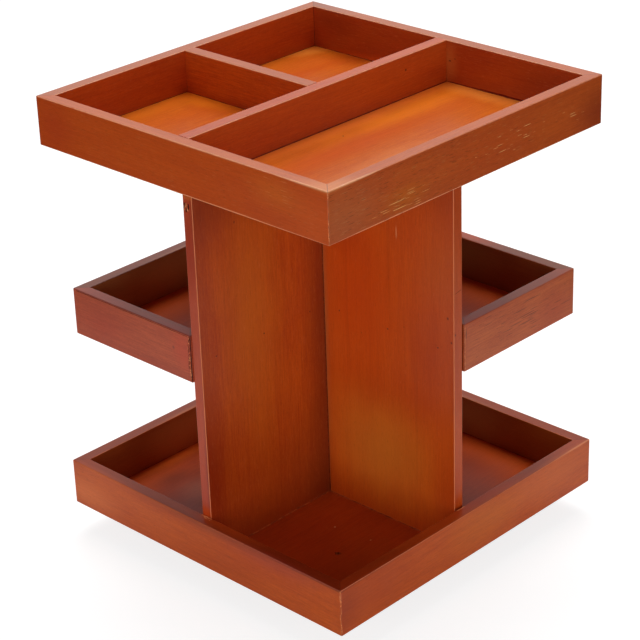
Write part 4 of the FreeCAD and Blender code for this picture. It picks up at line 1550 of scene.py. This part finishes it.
@dataclass
class LeftTray(SmallTray):
    """Left small tray, whose lacquer tore along its joint.

    Attributes:
        face_mm: Its outer face along X.
        joint_mm: Its end against the through panel along Y.
    """

    prefix: str = "left_tray"
    seed: float = 5.0
    sides_stain: StainedWood = LEFT_RIM_STAIN
    foot_mm: float = measured("left_tray_rim_front_left", Axis.Z, End.LOW)
    head_mm: float = measured("left_tray_rim_front_left", Axis.Z, End.HIGH)
    face_mm: float = measured("left_tray_rim_front_left", Axis.X, End.LOW)
    joint_mm: float = measured("left_tray_rim_front_right", Axis.Y, End.LOW)

    def floor_reflection(self) -> Cloud:
        """Painted reflection of the back left side: a warm patch on the floor along it."""
        return Cloud((-50, 96, 156), (70, 26, 9), tint(212, 92, 22), 0.5)

    def paint(self, side: Side) -> Paint:
        """Painted shading of the sides and rim tops, with redder stain round the torn joint and a
        thin dark streak.

        Args:
            side: The side.

        Returns:
            What is laid over its stain.
        """
        face = self.face_mm
        return {
            Side.FRONT_LEFT: Paint((NEAR_TOP,), (
                # This cloud and the next are painted shade on the rim top, redder near the panel
                # and darker at the far end, against the reflection on it.
                Cloud((-115, 16, 186), (12, 50, 2.5), tint(214, 54, 6), 0.5),
                Cloud((-115, 108, 186), (12, 50, 2.5), tint(118, 42, 18), 0.5),
                Cloud((face, 12, 172), (4, 16, 22), tint(214, 70, 40), 0.5),
                Cloud((face, 22, 172), (3, 1.6, 1.6), tint(120, 52, 40), 0.7),
                Cloud((face, 92, 165), (4, 40, 20), tint(186, 58, 28), 0.4))),
            Side.FRONT_RIGHT: Paint((NEAR_TOP,)),
            Side.BACK_LEFT: Paint(BACK_LEFT_SHADING, (
                Cloud((-24, 112, 172), (60, 4, 24), tint(204, 132, 76), 0.7),
                # Painted shade on the rim top.
                Cloud((-60, 118, 186), (90, 12, 2.5), tint(126, 44, 18), 0.4))),
            Side.BACK_RIGHT: Paint(BACK_RIGHT_SHADING),
        }[side]

    def strip(self, moulding: Moulding, start: tuple[float, float], end: tuple[float, float],
              widths_mm: tuple[float, float], thickness_mm: float, seed: int,
              step_mm: float = 0.7) -> None:
        """Lay an upright torn strip on the outer face."""
        moulding.ragged_strip((self.face_mm, *start), (self.face_mm, *end), ALONG_Y, TO_LEFT,
                              widths_mm, thickness_mm, seed, step_mm)

    def make_joint(self) -> None:
        """Build and dress the open joint and its torn edges."""
        self.trim(DARK_JOINT_AND_SHADE, self.open_joint())
        self.trim(TORN_LACQUER, self.torn_lacquer())

    def open_joint(self) -> Piece:
        """Build the dark gap along the joint and the thin dark line under the upper edge, which is
        painted shade.

        Returns:
            The piece.
        """
        joint, low, high = self.joint_mm, self.foot_mm + 1.2, self.head_mm - 0.8
        gap = Moulding()
        self.strip(gap, (joint + 0.5, low), (joint + 0.3, high), (0.3, 1.1), 0.06, 41)
        self.strip(gap, (joint + 2.6, low + 8), (joint + 1.2, high), (0.1, 1.1), 0.06, 43)
        # Painted shade: a thin dark line just under the upper arris of the outer face.
        gap.ragged_strip((self.face_mm, joint + 3.0, self.head_mm - 1.0),
                         (self.face_mm, -self.face_mm - 3.0, self.head_mm - 0.9),
                         UP, TO_LEFT, (0.3, 0.6), 0.02, 44, 3.0)
        return gap.piece(f"{self.prefix}_open_joint", "small_tray_rim_wood")

    def torn_lacquer(self) -> Piece:
        """Build the torn edge of the lacquer and its loose flakes.

        Returns:
            The piece.
        """
        joint, low, high = self.joint_mm, self.foot_mm + 1.2, self.head_mm - 0.8
        flakes = Moulding()
        self.strip(flakes, (joint + 1.3, self.foot_mm + 0.8), (joint + 1.2, low + 17),
                   (0.5, 1.5), 0.04, 45)
        chance = Random(47)
        for number in range(18):
            height = low + (high - low) * number / 18
            across = joint + chance.uniform(1.2, 3.0 if height > 166 else 1.8)
            length = chance.uniform(0.5, 1.4)
            lean = chance.uniform(-0.6, 0.6)
            self.strip(flakes, (across, height), (across + lean, height + length), (0.2, 0.9),
                       0.09, 50 + number, 0.35)
        return flakes.piece(f"{self.prefix}_torn_lacquer", "small_tray_rim_wood")


@dataclass
class RightTray(SmallTray):
    """Right small tray, with a rubbed corner against the front panel.

    Attributes:
        face_mm: Its outer face along Y.
        joint_mm: Its end against the front panel along X.
    """

    prefix: str = "right_tray"
    seed: float = 6.5
    sides_stain: StainedWood = RIGHT_RIM_STAIN
    foot_mm: float = measured("right_tray_rim_front_right", Axis.Z, End.LOW)
    head_mm: float = measured("right_tray_rim_front_right", Axis.Z, End.HIGH)
    face_mm: float = measured("right_tray_rim_front_right", Axis.Y, End.LOW)
    joint_mm: float = measured("right_tray_rim_front_left", Axis.X, End.LOW)

    def floor_reflection(self) -> Cloud:
        """Painted reflection of the back right side: a warm patch on the floor along it."""
        return Cloud((96, -50, 156), (26, 70, 9), tint(212, 92, 22), 0.5)

    def paint(self, side: Side) -> Paint:
        """Painted shading of the sides and rim tops, with a dark smear by the joint and open pores
        on the outer face.

        Args:
            side: The side.

        Returns:
            What is laid over its stain.
        """
        face, pores = self.face_mm, tint(92, 26, 18)
        return {
            Side.FRONT_LEFT: Paint((NEAR_TOP,)),
            Side.FRONT_RIGHT: Paint((NEAR_TOP,), (
                # This cloud and the next are painted shade on the rim top, redder near the panel
                # and darker at the far end, against the reflection on it.
                Cloud((16, -113, 186), (50, 12, 2.5), tint(216, 50, 4), 0.6),
                Cloud((104, -113, 186), (50, 12, 2.5), tint(112, 38, 14), 0.6),
                Cloud((self.joint_mm + 1.8, face, 178), (0.9, 3, 5), tint(96, 32, 20), 0.75),
                Cloud((95, face, 162), (40, 4, 20), tint(186, 66, 34), 0.4)), (
                Scratches((72, face, 172), (60, 6, 15), 0.9, pores, 60.0, 1.5),
                Scratches((60, face, 168), (80, 6, 24), 0.5, pores, 24.0, 0.9))),
            Side.BACK_LEFT: Paint(BACK_LEFT_SHADING),
            Side.BACK_RIGHT: Paint(BACK_RIGHT_SHADING, (
                Cloud((110, -22, 172), (4, 60, 24), tint(148, 100, 58), 0.7),
                # This cloud and the next are painted shade on the rim top, darker along it and
                # redder near the panel.
                Cloud((114, -60, 186), (12, 90, 2.5), tint(126, 44, 18), 0.4),
                Cloud((114, -26, 186), (12, 44, 2.5), tint(232, 84, 10), 0.75))),
        }[side]

    def make_joint(self) -> None:
        """Build and dress the rubbed upright arris."""
        along, low, high = self.joint_mm + 0.55, self.foot_mm + 1.5, self.head_mm - 1.0
        rub = Moulding()
        rub.ragged_strip((along, self.face_mm, low), (along, self.face_mm, high), ALONG_X,
                         TO_RIGHT, (0.15, 0.7), 0.04, 61)
        self.trim(RUBBED_EDGE, rub.piece(f"{self.prefix}_rubbed_arris", "small_tray_rim_wood"))


# Painted shading: the front sides' rim tops toned warmer against the reflection on them.
WARM_TOP = FaceShading(UP, tint(196, 104, 12), 0.35)
# Painted sheen on the back sides' rim tops.
BACK_TOP_SHEEN = FaceShading(UP, tint(172, 100, 60), 0.6)
PALE_ARRIS = tint(255, 164, 108)
# Painted highlight along the upper outer arris.
ARRIS_HIGHLIGHT = tint(244, 170, 122)
# Paler rim tops round the front corner.
PALE_CORNER_TOPS = Cloud((-126, -126, 321), (34, 34, 3), tint(248, 158, 92), 0.48)


@dataclass
class TopTray(Tray):
    """Divided tray on top.

    Attributes:
        floor_top_mm: Height of the floor's upper face.
        inner_half_mm: Half the clear width between the sides.
        long_half_mm: Half the thickness of the long divider.
        short_left_mm: Left face of the short divider.
        short_right_mm: Its right face.
        face_mm: How far the outer faces stand from the middle.
    """

    floor_top_mm: float = measured("top_floor", Axis.Z, End.HIGH)
    inner_half_mm: float = measured("top_rim_back_right", Axis.X, End.LOW)
    long_half_mm: float = measured("long_divider", Axis.Y, End.HIGH)
    short_left_mm: float = measured("short_divider", Axis.X, End.LOW)
    short_right_mm: float = measured("short_divider", Axis.X, End.HIGH)
    face_mm: float = measured("top_rim_back_right", Axis.X, End.HIGH)

    def dress(self) -> None:
        """Give the floor, the brads, the sides, the dividers and the seams their finishes."""
        self.stain(TOP_FLOOR_STAIN, "top_floor", Axis.X, 8.0, Paint(
            # Painted shade: a deeper band that tones down the reflection in the long compartment.
            clouds=(Cloud((-20, -38, 291), (170, 18, 3), tint(204, 74, 0), 0.55),
                    # Painted light near the long divider.
                    Cloud((60, -22, 291), (110, 18, 3), tint(255, 138, 20), 0.5),
                    # Painted reflection near the front side.
                    Cloud((-30, -68, 291), (90, 12, 3), tint(236, 140, 70), 0.3),
                    # Painted shade: a deeper band that tones down the reflection in the back
                    # compartments.
                    Cloud((40, 84, 291), (140, 16, 3), tint(200, 70, 0), 0.5),
                    # Painted light along both faces of the long divider.
                    Cloud((0, -3, 291), (190, 19, 3), tint(255, 130, 44), 0.95, 0.35),
                    # Painted light along the back right side.
                    Cloud((120, -40, 291), (22, 60, 3), tint(255, 146, 56), 0.95, 0.2),
                    # Painted light along the back left side.
                    Cloud((0, 120, 291), (190, 22, 3), tint(255, 136, 34), 0.75, 0.2),
                    # Painted light along the short divider.
                    Cloud((-6, 100, 291), (20, 50, 3), tint(255, 136, 30), 0.85, 0.2),
                    # Painted light in the far corner.
                    Cloud((114, 122, 291), (34, 22, 3), tint(255, 150, 54), 0.9, 0.4),
                    Cloud((114, 76, 291), (22, 26, 3), tint(172, 56, 0), 0.5),
                    Cloud((-106, 62, 291), (36, 64, 9), tint(166, 60, 6), 0.3))))
        self.coat(NAIL_FILLER, "top_floor_brads")
        stains = dict.fromkeys(Side, RIM_STAIN)
        stains[Side.FRONT_RIGHT] = replace(RIM_STAIN, wear=0.4, contrast=1.25)
        self.stain_sides(stains, "top", seed=9.0, step=0.43)
        hole = Cloud((77.8, -self.long_half_mm, 310.6), (1.1, 3, 1.1), tint(50, 14, 6), 0.9, 0.3)
        # Painted shading on the long divider's front face and on the short divider's top.
        self.stain(RIM_STAIN, "long_divider", Axis.X, 11.3,
                   Paint((FaceShading(TO_RIGHT, tint(196, 92, 34), 0.4),), (hole,)))
        self.stain(RIM_STAIN, "short_divider", Axis.Y, 12.1,
                   Paint((FaceShading(UP, tint(168, 92, 44), 0.5),)))
        self.trim(SEAM_SHADE, self.seams())
        self.trim(SHADE_LINE, self.shaded_joints())
        self.trim(RUBBED_EDGE, self.corner_flecks())

    def paint(self, side: Side) -> Paint:
        """Face shading, patches and scratches of one side.

        Args:
            side: The side.

        Returns:
            What is laid over its stain.
        """
        return {Side.FRONT_LEFT: self.front_left_paint, Side.FRONT_RIGHT: self.front_right_paint,
                Side.BACK_LEFT: self.back_left_paint,
                Side.BACK_RIGHT: self.back_right_paint}[side]()

    def front_left_paint(self) -> Paint:
        """Front left side, rubbed along its edges, with painted shading and a painted highlight on
        its upper arris.
        """
        face, faint = -self.face_mm, tint(226, 138, 80)
        return Paint(
            (FaceShading(TO_LEFT, tint(222, 84, 22), 0.5), WARM_TOP),
            (Cloud((face, 112, 303), (4, 30, 30), tint(190, 56, 22), 0.5),
             Cloud((face, -118, 300), (4, 26, 26), tint(226, 96, 34), 0.5),
             Cloud((face, -88, 308), (4, 34, 16), tint(240, 128, 40), 0.3),
             Cloud((face, -50, 287.5), (1.5, 90, 0.95), PALE_ARRIS, 0.9, 0.5),
             Cloud((face, 80, 287.5), (1.5, 60, 0.8), PALE_ARRIS, 0.6, 0.2),
             Cloud((face, -112, 320.5), (1.5, 30, 1.0), ARRIS_HIGHLIGHT, 0.8, 0.4),
             Cloud((face, -20, 320.5), (1.5, 80, 1.0), ARRIS_HIGHLIGHT, 0.3, 0.2),
             PALE_CORNER_TOPS),
            (Scratches((face, -36, 308), (6, 22, 8), 0.35, faint, across_mm=0.9),
             Scratches((face, -92, 306), (6, 40, 16), 0.25, faint, 16.0, 0.8),
             Scratches((face, 0, 300), (8, 150, 34), 0.35, tint(208, 108, 54), 14.0, 0.9)))

    def front_right_paint(self) -> Paint:
        """Front right side, scratched and rubbed along its edges, with painted shading and a
        painted arris highlight.
        """
        face, bright = -self.face_mm, tint(255, 188, 112)
        return Paint(
            (FaceShading(TO_RIGHT, tint(204, 92, 38), 0.5), WARM_TOP),
            (Cloud((-116, face, 300), (44, 4, 28), tint(196, 104, 54), 0.6),
             Cloud((124, face, 296), (34, 4, 26), tint(134, 40, 16), 0.6),
             Cloud((-62, face, 296), (28, 4, 13), tint(216, 116, 20), 0.4),
             Cloud((-60, face, 287.5), (84, 1.5, 0.95), PALE_ARRIS, 0.95, 0.5),
             Cloud((70, face, 287.5), (64, 1.5, 0.8), PALE_ARRIS, 0.8, 0.3),
             Cloud((20, face, 304), (60, 4, 24), tint(206, 74, 24), 0.3),
             Cloud((-108, face, 320.5), (34, 1.5, 0.9), ARRIS_HIGHLIGHT, 0.9, 0.3),
             Cloud((110, -124, 321), (44, 10, 2), tint(150, 70, 34), 0.3),
             PALE_CORNER_TOPS),
            (Scratches((-62, face, 295), (34, 6, 9), 1.0, bright, 30.0, 1.1),
             Scratches((-64, face, 295), (26, 6, 8), 1.0, bright, 44.0, 1.5),
             Scratches((-104, face, 304), (50, 8, 24), 0.8, tint(204, 134, 84), 18.0, 0.8),
             Scratches((-50, face, 306), (130, 8, 30), 0.8, tint(116, 40, 16), 15.0, 0.8),
             Scratches((34, face, 301), (40, 6, 12), 0.8),
             Scratches((98, face, 301), (20, 6, 9), 0.8),
             Scratches((0, face, 304), (150, 8, 34), 0.6, tint(206, 126, 66), 14.0, 0.9)))

    def back_left_paint(self) -> Paint:
        """Back left side, with a painted sheen on top and painted shading on its inner face."""
        return Paint((BACK_TOP_SHEEN, FaceShading(TO_RIGHT, tint(170, 58, 20), 0.4)))

    def back_right_paint(self) -> Paint:
        """Back right side, with a painted sheen on top, painted shading on its inner face, painted
        light at that face's foot and two nail pricks on it.
        """
        return Paint(
            (BACK_TOP_SHEEN, FaceShading(TO_LEFT, tint(150, 48, 16), 0.6)),
            (Cloud((123, -100, 321), (12, 60, 2), tint(206, 92, 14), 0.5),
             Cloud((123, 118, 321), (12, 40, 2), tint(130, 92, 82), 0.5),
             Cloud((119, -6, 305), (4, 12, 22), tint(208, 120, 54), 0.6),
             Cloud((119, -96, 306), (4, 50, 22), tint(104, 24, 4), 0.35),
             # Painted light at the foot of the inner face.
             Cloud((119, 66, 290), (4, 60, 9), tint(255, 110, 10), 0.7),
             Cloud((119, 96, 312), (4, 30, 12), tint(110, 34, 8), 0.3),
             Cloud((119, -7.7, 306.6), (3, 1.6, 0.8), tint(40, 14, 6), 0.8, 0.2),
             Cloud((119, -12.1, 308.8), (3, 1.0, 0.7), tint(60, 20, 8), 0.7, 0.2)))

    def seams(self) -> Piece:
        """Build the seams between the floor and the walls of the compartments: cracks, with their
        painted shade.

        Returns:
            The piece.
        """
        half, height, divider = self.inner_half_mm, self.floor_top_mm, self.long_half_mm
        lines = Moulding()
        lines.seam_round((-half, -half, height), (half, -divider, height), SEAM_MM, 71.0)
        lines.seam_round((-half, divider, height), (self.short_left_mm, half, height), SEAM_MM,
                         77.0)
        lines.seam_round((self.short_right_mm, divider, height), (half, half, height), SEAM_MM,
                         83.0)
        return lines.piece("top_floor_seams", "top_floor_wood")

    def shaded_joints(self) -> Piece:
        """Build the dark line along the long divider's foot, which is painted shade, and the open
        joint beside it.

        Returns:
            The piece.
        """
        wall, height, face = self.inner_half_mm, self.floor_top_mm, -self.long_half_mm
        half = wall - 0.6
        foot = Moulding()
        foot.bead((-half, face, height), (half, face, height), TO_RIGHT, UP, 0.7, 88.0,
                  least=0.75)
        foot.ragged_strip((wall, -104.0, height + 0.9), (wall, -34.0, height + 0.7), UP,
                          TO_LEFT, (0.8, 1.7), 0.05, 101, 4.0)
        foot.ragged_strip((wall, -34.0, height + 0.6), (wall, -8.0, height + 0.4), UP,
                          TO_LEFT, (0.2, 0.8), 0.05, 102, 4.0)
        return foot.piece("top_floor_shaded_joints", "top_floor_wood")

    def corner_flecks(self) -> Piece:
        """Build the rubbed flecks down the tray's front corner.

        Returns:
            The piece.
        """
        flecks = Moulding()
        flecks.worn_arris((-self.face_mm, -self.face_mm), (288.2, 319.8), 0.6, 0.38, 0.24, 97)
        return flecks.piece("top_corner_flecks", "top_rim_wood")


@dataclass(frozen=True)
class Softbox:
    """Square lamp that faces a point.

    Attributes:
        name: Name of the lamp.
        place: Where it hangs.
        aim: What it faces.
        width: Width of its face.
        power: Power in watts.
    """

    name: str
    place: Point
    aim: Point
    width: float
    power: float

    def hang(self) -> None:
        """Add the lamp to the scene."""
        data = bpy.data.lights.new(self.name, "AREA")
        data.shape = "SQUARE"
        data.size = self.width
        data.energy = self.power
        lamp = bpy.data.objects.new(self.name, data)
        bpy.context.scene.collection.objects.link(lamp)
        lamp.location = self.place
        away = Vector(self.aim) - Vector(self.place)
        lamp.rotation_mode = "QUATERNION"
        lamp.rotation_quaternion = away.to_track_quat("-Z", "Y")


@dataclass
class Studio:
    """Pale floor, even light from a white room, soft lamps and the camera.

    Attributes:
        ambient: Brightness of the room on the object.
        dim_heights: Slopes between which the room dims in reflections, 1 being straight up.
        ceiling: Brightness of the room overhead in reflections.
        floor_half: Half the floor's width.
        floor_grey: Colour of the floor where it takes the shadow.
        floor_glow: Light added to the floor for the camera, so that it looks white.
        sheet_radius_mm: How far from the object the floor is bright in reflections.
        sheet_fade_mm: How far it takes to turn dark.
        sheet_levels: Colour of the floor in reflections, near and far.
        lens_mm: Focal length.
        sensor_mm: Width of the sensor.
        clip: Nearest and farthest distance that the camera shows.
        eye: Where the camera stands.
        heading_deg: Turn of the camera about the vertical from facing +Y.
        tilt_deg: Angle of the camera up from facing straight down.
        roll_deg: Turn of the picture.
        lamps: The lamps.
    """

    ambient: float = 0.16
    dim_heights: tuple[float, float] = (0.34, 0.457)
    ceiling: float = 0.54
    floor_half: float = 9.0
    floor_grey: float = 0.4
    floor_glow: float = 0.8
    sheet_radius_mm: float = 440.0
    sheet_fade_mm: float = 200.0
    sheet_levels: tuple[float, float] = (0.8, 0.03)
    lens_mm: float = 117.9986
    sensor_mm: float = 36.0
    clip: tuple[float, float] = (0.05, 60.0)
    eye: Point = (-0.912028, -0.886640, 0.765711)
    heading_deg: float = -45.58930
    tilt_deg: float = 64.32291
    roll_deg: float = -1.99486
    lamps: tuple[Softbox, ...] = (
        Softbox("overhead", (0.42, 0.40, 1.70), (0.0, 0.0, 0.3), 1.3, 24.0),
        Softbox("left_fill", (-1.6, -0.35, 0.30), (0.0, 0.0, 0.2), 0.9, 8.8),
        Softbox("right_fill", (-0.35, -1.6, 0.30), (0.0, 0.0, 0.2), 0.9, 8.4),
    )

    def mirrored(self, graph: Graph, rays: bpy.types.NodeOutputs) -> Socket:
        """Tell whether a ray comes from a gloss or a glass."""
        return graph.math("MAXIMUM", rays["Is Glossy Ray"], rays["Is Transmission Ray"])

    def light_room(self) -> None:
        """Make the white room round the object."""
        world = bpy.data.worlds.new("white_room")
        world.use_nodes = True
        graph = Graph(world.node_tree)
        rays = graph.add("LightPath").outputs
        height = graph.split(graph.add("TexCoord").outputs["Generated"])[2]
        dimmed = graph.ease(height, *self.dim_heights, 1.0, self.ceiling)
        bright = graph.math("MAXIMUM", dimmed, rays["Is Camera Ray"])
        seen = graph.add("Background", WHITE, bright)
        lit = graph.add("Background", WHITE, self.ambient)
        shown = graph.math("MAXIMUM", rays["Is Camera Ray"], self.mirrored(graph, rays))
        mix = graph.add("MixShader", shown, lit.outputs[0], seen.outputs[0])
        graph.add("OutputWorld", mix.outputs[0])
        bpy.context.scene.world = world

    def lay_floor(self) -> None:
        """Make the pale floor, which looks white but keeps the object's shadow."""
        half = self.floor_half
        mesh = bpy.data.meshes.new("studio_floor")
        corners = [(-half, -half, 0), (half, -half, 0), (half, half, 0), (-half, half, 0)]
        mesh.from_pydata(corners, [], [(0, 1, 2, 3)])
        floor = bpy.data.objects.new("studio_floor", mesh)
        bpy.context.scene.collection.objects.link(floor)
        graph = MaterialGraph("studio_floor")
        rays = graph.add("LightPath").outputs
        paper = graph.add("BsdfDiffuse", (self.floor_grey,) * 3)
        glow = graph.fill(graph.add("Emission"), Strength=self.floor_glow)
        to_eye = graph.add("AddShader", paper.outputs[0], glow.outputs[0])
        away = graph.vector("LENGTH", graph.place)
        level = graph.ease(away, self.sheet_radius_mm, self.sheet_radius_mm + self.sheet_fade_mm,
                           *self.sheet_levels)
        sheet = graph.add("BsdfDiffuse", level)
        seen = graph.add("MixShader", rays["Is Camera Ray"], sheet.outputs[0], to_eye.outputs[0])
        every = graph.add("MixShader", self.mirrored(graph, rays), seen.outputs[0],
                          sheet.outputs[0])
        put_on(floor, graph.finish(every))

    def set_camera(self) -> None:
        """Stand the camera in its place."""
        data = bpy.data.cameras.new("camera")
        data.sensor_fit = "HORIZONTAL"
        data.sensor_width = self.sensor_mm
        data.lens = self.lens_mm
        data.clip_start, data.clip_end = self.clip
        camera = bpy.data.objects.new("camera", data)
        bpy.context.scene.collection.objects.link(camera)
        stance = Matrix.Translation(self.eye)
        for angle, axis in ((self.heading_deg, "Z"), (self.tilt_deg, "X"), (self.roll_deg, "Z")):
            stance = stance @ Matrix.Rotation(radians(angle), 4, axis)
        camera.matrix_world = stance
        bpy.context.scene.camera = camera

    def build(self) -> None:
        """Set up the whole studio."""
        self.light_room()
        self.lay_floor()
        for lamp in self.lamps:
            lamp.hang()
        self.set_camera()
        bpy.context.scene.view_settings.view_transform = "Standard"


def main() -> None:
    """Dress every sub-assembly and set up the studio."""
    logging.basicConfig(level=logging.INFO, format="%(message)s")
    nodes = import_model()["nodes"]
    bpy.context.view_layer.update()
    Studio().build()
    missed = set(nodes)
    for kind in (Stand, Turntable, BaseTray, PanelCross, LeftTray, RightTray, TopTray):
        assembly = kind(nodes)
        assembly.dress()
        missed -= set(assembly.dressed)
    if missed:
        raise RuntimeError(f"no finish on {sorted(missed)}")


if __name__ == "__main__":
    main()
